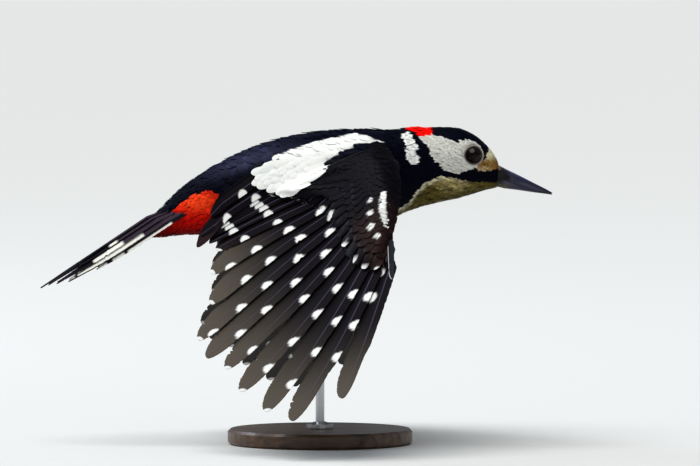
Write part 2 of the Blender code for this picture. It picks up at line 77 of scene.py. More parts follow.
def placed(name, data):
    """Puts new data into the scene as an object."""
    item = bpy.data.objects.new(name, data)
    bpy.context.scene.collection.objects.link(item)
    return item


def point_at(item, target):
    item.rotation_euler = (Vector(target) - item.location).to_track_quat("-Z", "Y").to_euler()


def hung_lamp(name, kind, place, power, color):
    data = bpy.data.lights.new(name, kind)
    data.energy = power
    data.color = color
    lamp = placed(name, data)
    lamp.location = place
    point_at(lamp, LAMPS_AIM)
    return data


def dial(node, **values):
    """Sets sockets of a node by their names, with underscores for spaces."""
    for socket, value in values.items():
        node.inputs[socket.replace("_", " ")].default_value = value
    return node


def shader_of(material):
    return material.node_tree.nodes["Principled BSDF"]


def plain_material(name, color, roughness):
    material = bpy.data.materials.new(name)
    material.use_nodes = True
    dial(shader_of(material), Base_Color=(*color, 1.0), Roughness=roughness)
    return material


floor_mesh = bpy.data.meshes.new("studio_floor")
floor_mesh.from_pydata([(-FLOOR_HALF, -FLOOR_HALF, 0), (FLOOR_HALF, -FLOOR_HALF, 0),
                        (FLOOR_HALF, FLOOR_HALF, 0), (-FLOOR_HALF, FLOOR_HALF, 0)],
                       [], [(0, 1, 2, 3)])
floor_mesh.materials.append(plain_material("studio_paper", PAPER, PAPER_ROUGHNESS))
placed("studio_floor", floor_mesh)

world = bpy.data.worlds.new("studio_air")
bpy.context.scene.world = world
world.use_nodes = True
dial(world.node_tree.nodes["Background"], Color=AIR_COLOR, Strength=AIR_STRENGTH)

hung_lamp("overhead_sky", "SUN", (-0.6, -0.55, 2.0), 2.75, (1.0, 0.99, 0.97)).angle = SKY_SPREAD
for name, place, wide, power, color in (
        ("front_lamp", (0.6, -1.8, 0.8), 0.7, 1.8, (1.0, 0.98, 0.95)),
        ("rim_lamp", (-1.3, 0.9, 1.1), 0.6, 7.0, (0.80, 0.86, 1.0))):
    disk = hung_lamp(name, "AREA", place, power, color)
    disk.shape = "DISK"
    disk.size = wide
bpy.context.scene.view_settings.view_transform = "Standard"
bpy.context.scene.view_settings.look = "Medium High Contrast"
print("floor, world and three lamps are in place")

# %% Camera
VIEW_WIDE = 0.31815        # metres seen across the view at the bird
CAMERA_AWAY = 5.0
CAMERA_RISE = math.radians(3.0)
VIEW_CENTRE = (0.013635, 0.0, 0.09603)
SENSOR_WIDE = 36.0
SEES_AS_FAR_AS = 200.0

camera_data = bpy.data.cameras.new("camera")
camera_data.sensor_width = SENSOR_WIDE
camera_data.lens = SENSOR_WIDE * CAMERA_AWAY / VIEW_WIDE
camera_data.clip_end = SEES_AS_FAR_AS
camera = placed("camera", camera_data)
camera.location = (VIEW_CENTRE[0], -CAMERA_AWAY * math.cos(CAMERA_RISE),
                   VIEW_CENTRE[2] + CAMERA_AWAY * math.sin(CAMERA_RISE))
point_at(camera, VIEW_CENTRE)
bpy.context.scene.camera = camera
print("lens", round(camera_data.lens, 1), "mm")

# %% [markdown]
# ## Making meshes from arrays
# A bird has too many feathers to make one by one with modelling tools. Each kind of feather is a
# small pattern of points instead, and numpy places thousands of copies at once. One helper turns
# the finished arrays into a Blender mesh, with a colour for every point and a place for every
# point on the map that paint is baked to. A second one makes the right piece and its mirror image,
# because a bird is the same on both sides.

# %% The helper that makes a piece
def make_piece(name, points, faces, finish, tint=None, place=None, vane=None):
    """points in mm; faces is a list of index arrays, each with its own number of corners."""
    mesh = bpy.data.meshes.new(name)
    sizes = np.concatenate([np.full(len(group), group.shape[1]) for group in faces])
    corners = np.concatenate([group.ravel() for group in faces]).astype(np.int32)
    mesh.vertices.add(len(points))
    mesh.vertices.foreach_set("co", (np.asarray(points, float) * MM).ravel())
    mesh.loops.add(len(corners))
    mesh.loops.foreach_set("vertex_index", corners)
    mesh.polygons.add(len(sizes))
    mesh.polygons.foreach_set("loop_start", np.concatenate([[0], np.cumsum(sizes)[:-1]]))
    mesh.polygons.foreach_set("use_smooth", np.ones(len(sizes), bool))
    for label, spots in (("OFBake", place), ("Vane", vane)):
        if spots is not None:
            layer = mesh.uv_layers.new(name=label)
            layer.data.foreach_set("uv", np.asarray(spots, float)[corners].ravel())
    if tint is not None:
        layer = mesh.color_attributes.new("Plumage", "FLOAT_COLOR", "POINT")
        full = np.ones((len(points), 4))
        full[:, :3] = tint
        layer.data.foreach_set("color", full.ravel())
    mesh.update()
    mesh.validate()
    mesh.materials.append(finish)
    item = placed(name, mesh)
    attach(item, "root")
    return item


def mirrored(points):
    return points * np.array([1.0, -1.0, 1.0])


def make_side(side, name, points, faces, finish, slot, tint, place=None, vane=None, stands_for=None):
    """A piece drawn for the bird's right side, or its mirror image on the left."""
    if side == "left":
        points, faces = mirrored(points), [group[:, ::-1] for group in faces]
    item = make_piece(f"{name}_{side}", points, faces, finish, tint, place, vane)
    if stands_for:
        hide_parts(f"{stands_for}_{side}")


def make_pair(*piece, **more):
    for side in SIDES:
        make_side(side, *piece, **more)


print("pieces are made for the", " and the ".join(SIDES), "side")

# %% Small helpers for arrays
def unit(v):
    return v / np.maximum(np.linalg.norm(v, axis=-1, keepdims=True), 1e-9)


def smooth_step(value, low, high):
    t = np.clip((np.asarray(value, float) - low) / (high - low), 0.0, 1.0)
    return t * t * (3.0 - 2.0 * t)


def mix(color, other, share):
    share = np.asarray(share)[..., None]
    return color * (1.0 - share) + other * share


def grid_quads(grid, closed=False):
    """Quads between the rows and columns of a grid of point numbers, closed round if asked."""
    if closed:
        grid = np.concatenate([grid, grid[:, :1]], 1)
    a, b, c, d = grid[:-1, :-1], grid[:-1, 1:], grid[1:, 1:], grid[1:, :-1]
    return np.stack([a, b, c, d], -1).reshape(-1, 4)


def surface_of(mesh):
    """Points in mm, normals and triangles of a mesh."""
    mesh.calc_loop_triangles()
    return (np.array([v.co for v in mesh.vertices]) / MM, np.array([v.normal for v in mesh.vertices]),
            np.array([t.vertices for t in mesh.loop_triangles]))


def tree_over(points, triangles):
    return BVHTree.FromPolygons(points.tolist(), triangles.tolist())


def nearest(tree, points):
    """Nearest places on a surface, with the normal and the triangle there."""
    found = [tree.find_nearest(p) for p in points.tolist()]
    return tuple(np.array([hit[part] for hit in found]) for part in range(3))


print("half way up a smooth step is", smooth_step(0.5, 0.0, 1.0))

# %% [markdown]
# ## One skin under all the feathers
# Under its coat a bird has one continuous skin, so a seam between neck and breast would look wrong
# as soon as two feathers part there. It could be drawn anew, but then it would drift from the
# solids. Here the fleshy solids are copied, puffed out a little until they touch, and joined by a
# voxel remesh. The result is smoothed and then drawn in by the depth of the coat that will lie on
# it: deep on the breast, thin on the face and along the wing.

# %% Join the fleshy solids
FLESH = ["trunk", "rump", "neck", "head", "thigh_right", "thigh_left",
         "arm_right", "arm_left", "hand_right", "hand_left"]
SKIN_VOXEL = 0.0009
PUFF = 0.25
WELD = 1e-6


def puffed(names):
    """One mesh of all the named solids, each grown along its normals, with doubled points merged."""
    mesh = bpy.data.meshes.new("flesh")
    points, faces, shift = [], [], 0
    for name in names:
        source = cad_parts[name].data
        points += [tuple(v.co + v.normal * PUFF * MM) for v in source.vertices]
        faces += [[i + shift for i in p.vertices] for p in source.polygons]
        shift += len(source.vertices)
    mesh.from_pydata(points, [], faces)
    work = bmesh.new()
    work.from_mesh(mesh)
    bmesh.ops.remove_doubles(work, verts=work.verts, dist=WELD)
    work.to_mesh(mesh)
    work.free()
    return mesh


def soften(item, factor, rounds):
    smoother = item.modifiers.new("soften", "SMOOTH")
    smoother.factor = factor
    smoother.iterations = rounds


def finished_mesh(item):
    """The mesh of an object with its modifiers carried out."""
    depsgraph = bpy.context.evaluated_depsgraph_get()
    return bpy.data.meshes.new_from_object(item.evaluated_get(depsgraph))


flesh = placed("flesh", puffed(FLESH))
remesh = flesh.modifiers.new("join", "REMESH")
remesh.mode = "VOXEL"
remesh.voxel_size = SKIN_VOXEL
soften(flesh, 0.6, 12)
joined = finished_mesh(flesh)
bpy.data.objects.remove(flesh)
print("joined skin:", len(joined.vertices), "points")

# %% Draw the skin in by the depth of the coat
WING_FLESH = ["arm_right", "hand_right"]
BODY_FLESH = ["trunk", "rump", "neck", "head", "thigh_right"]
WING_COAT, BREAST_COAT = 0.75, 1.5
# how much thinner the coat gets, and the stretch from tail to bill over which it does
COAT_THINS = ((0.5, 30.0, 42.0), (0.5, 44.0, 56.0), (0.2, 62.0, 76.0))
ROOT_BLEND = 1.5


def solids(names):
    """Points and triangles of several solids of the frame."""
    points, triangles, shift = [], [], 0
    for name in names:
        own, _, own_triangles = surface_of(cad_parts[name].data)
        points.append(own)
        triangles.append(own_triangles + shift)
        shift += len(own)
    return np.concatenate(points), np.concatenate(triangles)


wing_tree = tree_over(*solids(WING_FLESH))
body_tree = tree_over(*solids(BODY_FLESH))


def wingness(points):
    """1 on the wing, 0 on the body, with a soft change where the arm leaves the flank."""
    right = points.copy()
    right[:, 1] = -np.abs(right[:, 1])
    to_body, to_wing = (np.array([tree.find_nearest(p)[3] for p in right.tolist()])
                        for tree in (body_tree, wing_tree))
    return smooth_step(to_body - to_wing, -ROOT_BLEND, ROOT_BLEND)


def coat_depth(points, wing):
    depth = BREAST_COAT
    for less, low, high in COAT_THINS:
        depth = depth - less * smooth_step(points[:, 0], low, high)
    return depth * (1 - wing) + WING_COAT * wing


skin_points, skin_normals, _ = surface_of(joined)
depths = coat_depth(skin_points, wingness(skin_points))
joined.vertices.foreach_set("co", ((skin_points - skin_normals * (depths + PUFF)[:, None]) * MM).ravel())
joined.update()
skin = placed("skin", joined)
soften(skin, 0.5, 4)
skin_mesh = finished_mesh(skin)
skin.modifiers.clear()
skin.data = skin_mesh
print("skin drawn in by", depths.min().round(2), "to", depths.max().round(2), "mm")

# %% Unwrap the skin's own shape
skin_mesh.uv_layers.new(name="OFBake")
bpy.context.view_layer.objects.active = skin
skin.select_set(True)
bpy.ops.object.mode_set(mode="EDIT")
bpy.ops.mesh.select_all(action="SELECT")
bpy.ops.uv.smart_project(angle_limit=math.radians(66), island_margin=0.004)
bpy.ops.object.mode_set(mode="OBJECT")
skin.select_set(False)
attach(skin, "root")
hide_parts(*FLESH)

skin_points, skin_normals, skin_triangles = surface_of(skin_mesh)
skin_loops = np.array([t.loops for t in skin_mesh.loop_triangles])
skin_uv = np.zeros(len(skin_mesh.loops) * 2)
skin_mesh.uv_layers["OFBake"].data.foreach_get("uv", skin_uv)
skin_uv = skin_uv.reshape(-1, 2)
skin_tree = tree_over(skin_points, skin_triangles)
print("skin triangles:", len(skin_triangles))

# %% [markdown]
# ## The sheet that the wing lies on
# A wing is easier to draw in its own two directions than in x, y and z: "out" along the span and
# "aft" along the chord, with "lift" as the height above the wing's curved sheet. The flight
# feathers fan out from one centre near the wrist, and each lies a little higher than the next one
# out, like the slats of a blind. The numbers are those of the solids, so each vane lands on its own.

# %% From span, chord and height to a point in space
WING_ROOT = (25.0, 19.5, 132.5)
CHORD = (-0.8996, -0.4368)
WING_DIP, WING_DIP_AT_BODY = 40.0, 78.0
DIP_FROM, DIP_TO = -6.0, 14.0
WING_SAG = 1.6
FAN_OUT, FAN_AFT = 11.3, -21.2


def dip_at(out):
    steeper = smooth_step(-out, -DIP_TO, -DIP_FROM)
    return np.radians(WING_DIP + (WING_DIP_AT_BODY - WING_DIP) * steeper)


OUTS = np.linspace(-40.0, 180.0, 441)
OUT_STEP = OUTS[1] - OUTS[0]
middle_dips = dip_at(OUTS + OUT_STEP / 2.0)[:-1]
SIDEWAYS = np.concatenate([[0.0], np.cumsum(np.cos(middle_dips) * OUT_STEP)])
DOWNWAYS = np.concatenate([[0.0], np.cumsum(np.sin(middle_dips) * OUT_STEP)])
flat_at = int(np.searchsorted(OUTS, DIP_TO))
SIDEWAYS += OUTS[flat_at] * math.cos(math.radians(WING_DIP)) - SIDEWAYS[flat_at]
DOWNWAYS += OUTS[flat_at] * math.sin(math.radians(WING_DIP)) - DOWNWAYS[flat_at]


def wing_points(out, aft, lift):
    """Points of the right wing from span, chord and height above the sheet."""
    reach = np.hypot(out - FAN_OUT, aft - FAN_AFT)
    lift = lift - WING_SAG * (reach / 100.0) ** 2
    dip = dip_at(out)
    side = np.interp(out, OUTS, SIDEWAYS) + lift * np.sin(dip)
    down = np.interp(out, OUTS, DOWNWAYS) - lift * np.cos(dip)
    return np.stack([WING_ROOT[0] + aft * CHORD[0] - down * CHORD[1],
                     -(WING_ROOT[1] + side),
                     WING_ROOT[2] + aft * CHORD[1] + down * CHORD[0]], -1)


def wing_normal(out):
    dip = dip_at(out)
    return np.stack([np.cos(dip) * CHORD[1], -np.sin(dip), -np.cos(dip) * CHORD[0]], -1)


print("the wing's sheet drops", round(float(np.interp(100.0, OUTS, DOWNWAYS)), 1), "mm over 100 mm of span")

# %% The fan of shafts
FIRST_SECONDARY = 92.0
BEND_FROM, BEND_POWER = 70.0, 1.3
PAST_NINTH = 7.0           # degrees of turn that count as one feather in front of the ninth
INNER_STEP, INNER_CLOSING, INNER_FROM, INNER_LONG = 4.5, 0.034, 50.0, 45.0
# shaft direction near the hand and at the tip, reach of the tip, width ahead and behind
PRIMARIES = (
    (86.0, 84.9, 111.4, 4.8, 9.6), (78.8, 76.7, 120.0, 4.8, 10.0), (71.3, 70.6, 135.9, 4.8, 10.0),
    (64.0, 65.6, 140.4, 4.8, 10.0), (56.6, 60.1, 140.6, 4.8, 10.0), (49.2, 53.9, 148.2, 4.8, 10.0),
    (42.6, 46.9, 154.8, 4.6, 10.0), (37.2, 41.3, 157.6, 4.4, 9.0), (31.4, 33.6, 144.0, 3.6, 7.6),
)
TENTH_FROM, TENTH_TURN = (55.5, 9.6), 16.5


def turn_at(feather, reach):
    """Direction of a shaft in degrees at a reach from the fan's centre; 0 is the first secondary."""
    if feather == 0:
        return np.full_like(reach, FIRST_SECONDARY)
    if feather == 10:
        return np.full_like(reach, TENTH_TURN)
    near, far, tip = PRIMARIES[feather - 1][:3]
    return near + (far - near) * np.clip((reach - BEND_FROM) / (tip - BEND_FROM), 0, 1) ** BEND_POWER


def fan_place(feather, reach, across):
    turn = np.radians(turn_at(feather, reach))
    start = TENTH_FROM if feather == 10 else (FAN_OUT, FAN_AFT)
    return (start[0] + reach * np.cos(turn) + across * np.sin(turn),
            start[1] + reach * np.sin(turn) - across * np.cos(turn))


def first_line(aft):
    return FAN_OUT + (aft - FAN_AFT) / math.tan(math.radians(FIRST_SECONDARY))


def inner_step(aft):
    return INNER_STEP - INNER_CLOSING * np.clip(aft - INNER_FROM, 0.0, INNER_LONG)


def feather_number(out, aft):
    """Which shaft a spot is nearest, as a running number: 9 down to 1, then 0, -1 and so on."""
    turn = np.degrees(np.arctan2(aft - FAN_AFT, out - FAN_OUT))
    reach = np.hypot(out - FAN_OUT, aft - FAN_AFT)
    turns = [turn_at(feather, reach) for feather in range(9, -1, -1)]
    number = 9.0 + np.maximum(turns[0] - turn, 0.0) / PAST_NINTH
    for low, high in zip(turns, turns[1:]):
        number = number - np.clip((turn - low) / (high - low), 0.0, 1.0)
    inner = (out - first_line(aft)) / inner_step(aft)
    return np.where(turn > FIRST_SECONDARY, inner, number)


print("longest primary reaches", max(row[2] for row in PRIMARIES), "mm from the fan's centre")

# %% [markdown]
# ## How high the skin stands above the sheet
# Arm and hand are thickest in front, and the feathers must lie on them, not in them. Pushing each
# feather out until it is clear would leave steps between neighbours. So the height of the skin over
# the sheet is measured once, by shooting rays at it from above and from below on a grid, and the
# softened result guides every row of feathers.

# %% Measure the skin with rays
GUIDE_OUT = np.arange(-28.0, 82.0, 1.0)
GUIDE_AFT = np.arange(-16.0, 70.0, 1.0)
GUIDE_FAR = 16.0
GUIDE_ROUNDS = 6
BARE_TOP, BARE_UNDER = -1.2, 0.9
# outlines of the fleshy part of the wing, as chord position over span
REAR_OUT = (0.0, 4.0, 13.0, 24.0, 34.0, 45.0, 55.0, 63.5, 69.0)
REAR_AFT = (52.0, 42.5, 35.0, 31.5, 31.0, 30.5, 29.5, 27.0, 23.6)
FRONT_OUT = (0.0, 7.0, 14.0, 24.0, 33.0, 42.5, 52.0, 60.5, 67.0)
FRONT_AFT = (-7.2, -8.6, -9.0, -6.8, -3.6, 1.2, 7.0, 12.6, 16.8)


def skin_heights(side, empty):
    """Softened height of the skin's upper (side 1) or under (side -1) face on a grid of the sheet."""
    out, aft = np.meshgrid(GUIDE_OUT, GUIDE_AFT, indexing="ij")
    starts = wing_points(out, aft, np.full(out.shape, side * GUIDE_FAR)).reshape(-1, 3)
    aims = (-side * wing_normal(out)).reshape(-1, 3)
    heights = np.full(len(starts), empty)
    for i, (start, aim) in enumerate(zip(starts.tolist(), aims.tolist())):
        hit = skin_tree.ray_cast(start, aim, 2 * GUIDE_FAR)
        if hit[0] is not None:
            heights[i] = side * (GUIDE_FAR - hit[3])
    heights = heights.reshape(out.shape)
    for _ in range(GUIDE_ROUNDS):
        padded = np.pad(heights, 1, mode="edge")
        around = (padded[:-2, 1:-1] + padded[2:, 1:-1] + padded[1:-1, :-2] + padded[1:-1, 2:]) / 4
        heights = (heights + around) / 2
    return heights


TOP_GUIDE = skin_heights(1.0, BARE_TOP)
UNDER_GUIDE = skin_heights(-1.0, BARE_UNDER)


def guide_at(guide, out, aft):
    i = np.clip((out - GUIDE_OUT[0]) / (GUIDE_OUT[1] - GUIDE_OUT[0]), 0, len(GUIDE_OUT) - 1.001)
    j = np.clip((aft - GUIDE_AFT[0]) / (GUIDE_AFT[1] - GUIDE_AFT[0]), 0, len(GUIDE_AFT) - 1.001)
    a, b = i.astype(int), j.astype(int)
    s, t = i - a, j - b
    return ((guide[a, b] * (1 - s) + guide[a + 1, b] * s) * (1 - t)
            + (guide[a, b + 1] * (1 - s) + guide[a + 1, b + 1] * s) * t)


def from_front_edge(out, aft):
    """How far a spot lies behind the wing's front edge."""
    return aft - np.interp(out, FRONT_OUT, FRONT_AFT)


print("skin stands up to", TOP_GUIDE.max().round(1), "mm above the sheet")

# %% [markdown]
# ## What a flight feather is
# A flight feather is a horny shaft with two flat webs, a narrow one in front and a wide one behind.
# The webs are made of barbs that leave the shaft at a slant, so the paint carries fine slanted lines
# and the edge is never a clean cut: here and there the barbs have parted. A flat, painted card
# would show none of this from below, so each feather is a thin closed shell with a raised shaft,
# its own outline and its own marks on the upper and the under face.

# %% Finish of the vanes
BARB_STRETCH = 0.06
BARB_BUMP = 0.35
SHEEN_TINT = (0.75, 0.78, 1.0, 1.0)


def added(material, kind, **values):
    """Adds a node of a kind to a material, with its sockets set."""
    return dial(material.node_tree.nodes.new("ShaderNode" + kind), **values)


def wire(material, source, output, target, socket):
    material.node_tree.links.new(source.outputs[output], target.inputs[socket])


def mottled(material, pattern, low, high):
    """Paints with the mesh's own colours, made darker and lighter by a pattern."""
    tint = added(material, "VertexColor")
    tint.layer_name = "Plumage"
    shade = added(material, "MapRange", To_Min=low, To_Max=high)
    paint = added(material, "VectorMath")
    paint.operation = "SCALE"
    wire(material, pattern, "Fac", shade, "Value")
    wire(material, tint, "Color", paint, 0)
    wire(material, shade, "Result", paint, "Scale")
    wire(material, paint, "Vector", shader_of(material), "Base Color")


def bumped(material, pattern, strength, depth):
    bump = added(material, "Bump", Strength=strength, Distance=depth)
    wire(material, pattern, "Fac", bump, "Height")
    wire(material, bump, "Normal", shader_of(material), "Normal")


def stretched_noise(material, source, output, stretch, **values):
    """Noise on coordinates that are stretched first, for barbs, wood grain and brush lines."""
    shape = added(material, "Mapping", Scale=stretch)
    pattern = added(material, "TexNoise", **values)
    wire(material, source, output, shape, "Vector")
    wire(material, shape, "Vector", pattern, "Vector")
    return pattern


def plumage_material(name, roughness, barb_scale, barb_depth, sheen, grain=0.18):
    """Colour comes from the mesh; the barbs come from stretched noise on the feather's own map."""
    material = plain_material(name, (1, 1, 1), roughness)
    own_map = added(material, "UVMap")
    own_map.uv_map = "Vane"
    barbs = stretched_noise(material, own_map, "UV", (barb_scale, barb_scale * BARB_STRETCH, 1.0),
                            Scale=1.0, Detail=3.0)
    mottled(material, barbs, 1.0 - grain, 1.0 + grain)
    bumped(material, barbs, BARB_BUMP, barb_depth)
    dial(shader_of(material), Specular_IOR_Level=0.05, Sheen_Weight=sheen, Sheen_Roughness=0.4,
         Sheen_Tint=SHEEN_TINT)
    return material


vane_finish = plumage_material("barbed_vane", 0.50, 26.0, 0.00012, 0.012)
print("vane finish ready")

# %% Rows and columns of one vane
ROWS, END_ROWS = 110, 34
END_LONG, END_CROWDING = 0.16, 1.7
alongs = np.concatenate([
    np.linspace(0.0, 1.0 - END_LONG, ROWS - END_ROWS, endpoint=False),
    1.0 - END_LONG * (1.0 - np.linspace(0.0, 1.0, END_ROWS)) ** END_CROWDING])
SHAFT_STEPS = (-1.0, -0.55, 0.0, 0.55, 1.0)
FRONT_COLUMNS, BACK_COLUMNS = 8, 11
shell_steps = np.concatenate([
    -1.0 - np.linspace(1.0, 0.0, BACK_COLUMNS, endpoint=False), SHAFT_STEPS,
    1.0 + np.linspace(0.0, 1.0, FRONT_COLUMNS + 1)[1:]])


def shell_faces(rows, columns):
    """Quads of an upper and an under sheet of points, joined round the edge."""
    grid = np.arange(rows * columns).reshape(rows, columns)
    top = grid_quads(grid)
    low = top[:, ::-1] + rows * columns
    rim = np.concatenate([grid[0, :], grid[1:, -1], grid[-1, -2::-1], grid[-2:0:-1, 0]])
    turn = np.roll(rim, -1)
    wall = np.stack([turn, rim, rim + rows * columns, turn + rows * columns], -1)
    return np.concatenate([top, low, wall])


SHELL = shell_faces(ROWS, len(shell_steps))
print("points in one vane:", 2 * ROWS * len(shell_steps), "and faces:", len(SHELL))

# %% Outline of a vane
SHAFT_HALF, SHAFT_TAPER = 0.42, 0.55
SLIMMEST = 0.12
RIPPLE = 0.02
SPLIT_FROM, SPLIT_TO, SPLIT_LONG = 0.3, 0.97, 0.012


def rounded(t, start):
    """Width of a web that closes in a quarter ellipse from start to the tip."""
    return np.sqrt(np.clip(1.0 - (np.clip(t - start, 0, 1) / (1.0 - start)) ** 2, 0.0, 1.0))


def frayed(width, splits, depth, slimmest=SLIMMEST):
    """Makes a web's edge uneven: a fine ripple, and a few places where the barbs have parted."""
    edge = width * (1.0 + RIPPLE * chance.standard_normal(len(alongs)))
    for _ in range(splits):
        at = chance.uniform(SPLIT_FROM, SPLIT_TO)
        gap = np.clip((alongs - at) / SPLIT_LONG, 0.0, 1.0) * (alongs < at + SPLIT_LONG)
        edge = edge * (1.0 - depth * chance.uniform(0.4, 1.0) * gap)
    return np.maximum(edge, slimmest)


def across_of(front, back):
    """Across positions in mm of every column, for the widths of every row."""
    shaft = np.minimum(SHAFT_HALF * (1.0 - SHAFT_TAPER * alongs), np.minimum(front, back) * 0.5)
    steps = shell_steps[None, :]
    behind = -(shaft[:, None] + (back - shaft)[:, None] * (-1.0 - steps))
    ahead = shaft[:, None] + (front - shaft)[:, None] * (steps - 1.0)
    inner = steps * shaft[:, None]
    return np.where(steps < -1.0, behind, np.where(steps > 1.0, ahead, inner))


print("a shaft is", 2 * SHAFT_HALF, "mm wide at its root")

# %% One feather, from widths to a finished pair
WEB_THICK, WEB_ARCH = 0.16, 0.22
SHAFT_RISE, SHAFT_BELOW = 0.42, 0.22
BARB_SLANT, MAP_SPAN = 0.85, 10.0
MAP_EDGE = 0.02            # margin of a feather's two patches on its own paint map


def lay_vane(name, stands_for, surface, length, front, back, paint, slot, shaft_rise=SHAFT_RISE):
    """Builds one feather on both sides of the bird. surface turns (t, across, rise) into points."""
    across = across_of(front, back)
    t = np.repeat(alongs[:, None], across.shape[1], 1)
    shaft = np.exp(-(shell_steps / 0.75) ** 2)[None, :] * (1.0 - 0.75 * t)
    arch = 1.0 - np.where(across > 0, across / front[:, None], across / back[:, None]) ** 2
    upper = WEB_THICK / 2 + shaft_rise * shaft + WEB_ARCH * (arch - 1.0)
    under = -WEB_THICK / 2 - SHAFT_BELOW * shaft + WEB_ARCH * (arch - 1.0)
    points = np.concatenate([surface(t, across, height).reshape(-1, 3) for height in (upper, under)])
    from_edges = (front[:, None] - across, across + back[:, None])
    tint = np.concatenate([paint(t, across, *from_edges, below).reshape(-1, 3) for below in (False, True)])
    share = (shell_steps - shell_steps[0]) / (shell_steps[-1] - shell_steps[0])
    v = np.repeat(share[None, :], ROWS, 0)
    place = np.concatenate([
        np.stack([MAP_EDGE + (1.0 - 2 * MAP_EDGE) * t, low + 0.46 * v], -1).reshape(-1, 2)
        for low in (MAP_EDGE, 0.5 + MAP_EDGE)])
    slant = np.stack([(t * length - BARB_SLANT * np.abs(across)) / MAP_SPAN, across / MAP_SPAN], -1)
    vane = np.concatenate([slant.reshape(-1, 2)] * 2)
    make_pair(name, points, [SHELL[:, ::-1]], vane_finish, slot, tint, place, vane, stands_for=stands_for)


print("a web is", WEB_THICK, "mm thick")

# %% Colours of the long feathers
VANE_BASE = np.array([0.0050, 0.0036, 0.0062])
# lighter colour at the ends of the long feathers: painted light shining through their thin tips
PAINTED_TIP_LIGHT = np.array([0.088, 0.076, 0.060])
VANE_WHITE = np.array([0.72, 0.73, 0.71])
# pale lilac on the shafts is a painted highlight; the shafts themselves are dark
SHAFT_HIGHLIGHT = np.array([0.080, 0.066, 0.105])
UNDER_TONE = np.array([0.070, 0.062, 0.062])
SLATE = np.array([0.016, 0.019, 0.026])
LIGHTENS_FROM, LIGHTENS_OVER = 0.30, 0.70


def spread(color, like):
    """One colour for every point of an array."""
    return np.broadcast_to(color, like.shape + (3,))


def vane_color(t, across, under, light_from=LIGHTENS_FROM):
    # the vane lightens towards its tip with painted light, in place of light passing through the thin tip
    light = smooth_step(t, light_from, light_from + LIGHTENS_OVER)
    color = mix(spread(VANE_BASE, t), PAINTED_TIP_LIGHT, light ** 1.5)
    color = mix(color, UNDER_TONE, np.full(t.shape, 0.75 if under else 0.0))
    # paints a highlight along the shaft
    return mix(color, SHAFT_HIGHLIGHT, 0.75 * (np.abs(across) < SHAFT_HALF * (1.0 - 0.6 * t)))


def oval(along, at, half_long, from_edge, half_deep):
    """1 inside a half disc whose straight side lies on the web's edge."""
    ring = ((along - at) / half_long) ** 2 + (from_edge / half_deep) ** 2
    return 1.0 - smooth_step(ring, 0.75, 1.25)


# reach of each white spot on the outer web, first primary to ninth
SPOT_REACH = (
    (54.5, 71.2, 88.3, 102.3), (51.9, 69.4, 86.5, 100.5), (58.4, 77.2, 96.3, 111.9, 129.0),
    (68.5, 87.7, 106.2, 122.4), (76.4, 93.6, 126.9), (83.6, 99.2, 116.1, 132.8),
    (85.8, 101.4, 119.3, 138.3), (86.7, 102.9, 121.0), (),
)
SPOT_HALF_LONG, SPOT_DEEP, LAST_SPOT_DEEP, LAST_SPOTS = 2.75, 3.7, 2.7, 14.0
# the ninth has its two spots on the inner web: reach, half length, half depth
NINTH_SPOTS, NINTH_SPOTS_BEHIND = ((72.0, 2.6, 2.4), (86.4, 2.8, 2.2)), 4.4
TIP_MARKS = (1, 2, 3, 5, 6, 7)
print("spots on one wing's primaries:", sum(len(row) for row in SPOT_REACH) + len(NINTH_SPOTS))

# %% [markdown]
# ## The ten primaries
# The ten longest feathers grow from the hand. In the down stroke they stand apart like fingers,
# and the outer ones grow narrower towards the tip, which is what opens the slots between them.
# Fingers cut from one sheet would all lie at one height. Here each feather is laid by itself on the
# wing's sheet, one slat above its outer neighbour. The tenth is a mere stump on the front edge.

# %% Lay the primaries
SLAT = 1.15
ABOVE_SKIN = 0.55
HAND_COVER = {7: 9.0, 8: 4.5, 9: 1.5}     # how far a root runs on under the coverts
FULL_COVER = 13.0
TENTH_LONG, TENTH_AHEAD, TENTH_BEHIND, TENTH_LIFT, TENTH_SHAFT = 24.0, 1.3, 1.7, 0.4, 0.15
NOTCHED, NOTCH, NINTH_NOTCH = range(5, 10), 0.22, 0.30
STACK_REACH = -1.4         # a feather sinks no lower than this share of a slat under its neighbours


def guided_lift(out, aft, number, lowest):
    base = np.maximum(guide_at(TOP_GUIDE, out, aft) + ABOVE_SKIN, 0.0)
    return base + SLAT * np.maximum(feather_number(out, aft) - number, lowest)


def fan_start(feather):
    """Reach at which a shaft leaves the covered front of the wing."""
    reach = np.arange(50.0, 95.0, 0.25)
    out, aft = fan_place(feather, reach, np.zeros_like(reach))
    covered = (aft < np.interp(out, REAR_OUT, REAR_AFT)) & (out < REAR_OUT[-1])
    return reach[covered].max() if covered.any() else reach[0]


def primary_webs(feather, ahead, behind):
    """Widths of the front and back web along the feather."""
    notch = (NINTH_NOTCH if feather == 9 else NOTCH) * (feather in NOTCHED)
    narrow = 1.0 - notch * smooth_step(alongs, 0.60, 0.72)
    narrow = narrow * (0.45 + 0.55 * smooth_step(alongs, 0.0, 0.06))
    front = ahead * rounded(alongs, 0.86) * (1.0 - 0.12 * alongs) * narrow
    back = behind * rounded(alongs, 0.78) * (1.0 - 0.10 * alongs)
    return frayed(front, 2, 0.25), frayed(back, 4, 0.30)


def primary_paint(feather, tip, reach, t, across, from_front, from_back, under):
    color = vane_color(t, across, under)
    for at in SPOT_REACH[feather - 1]:
        deep = SPOT_DEEP if at < tip - LAST_SPOTS else LAST_SPOT_DEEP
        color = mix(color, VANE_WHITE, oval(reach, at, SPOT_HALF_LONG, from_front, deep))
        if under and at < tip - 30:
            color = mix(color, VANE_WHITE * 0.9, oval(reach, at - 3.0, 3.4, from_back, 6.0))
    if feather == 9:
        for at, half_long, half_deep in NINTH_SPOTS:
            behind = np.abs(across + NINTH_SPOTS_BEHIND)
            color = mix(color, VANE_WHITE, oval(reach, at, half_long, behind, half_deep))
    if feather in TIP_MARKS:
        color = mix(color, VANE_WHITE * 0.9, oval(reach, tip, 1.8, np.abs(across - 0.4), 3.0))
    return color


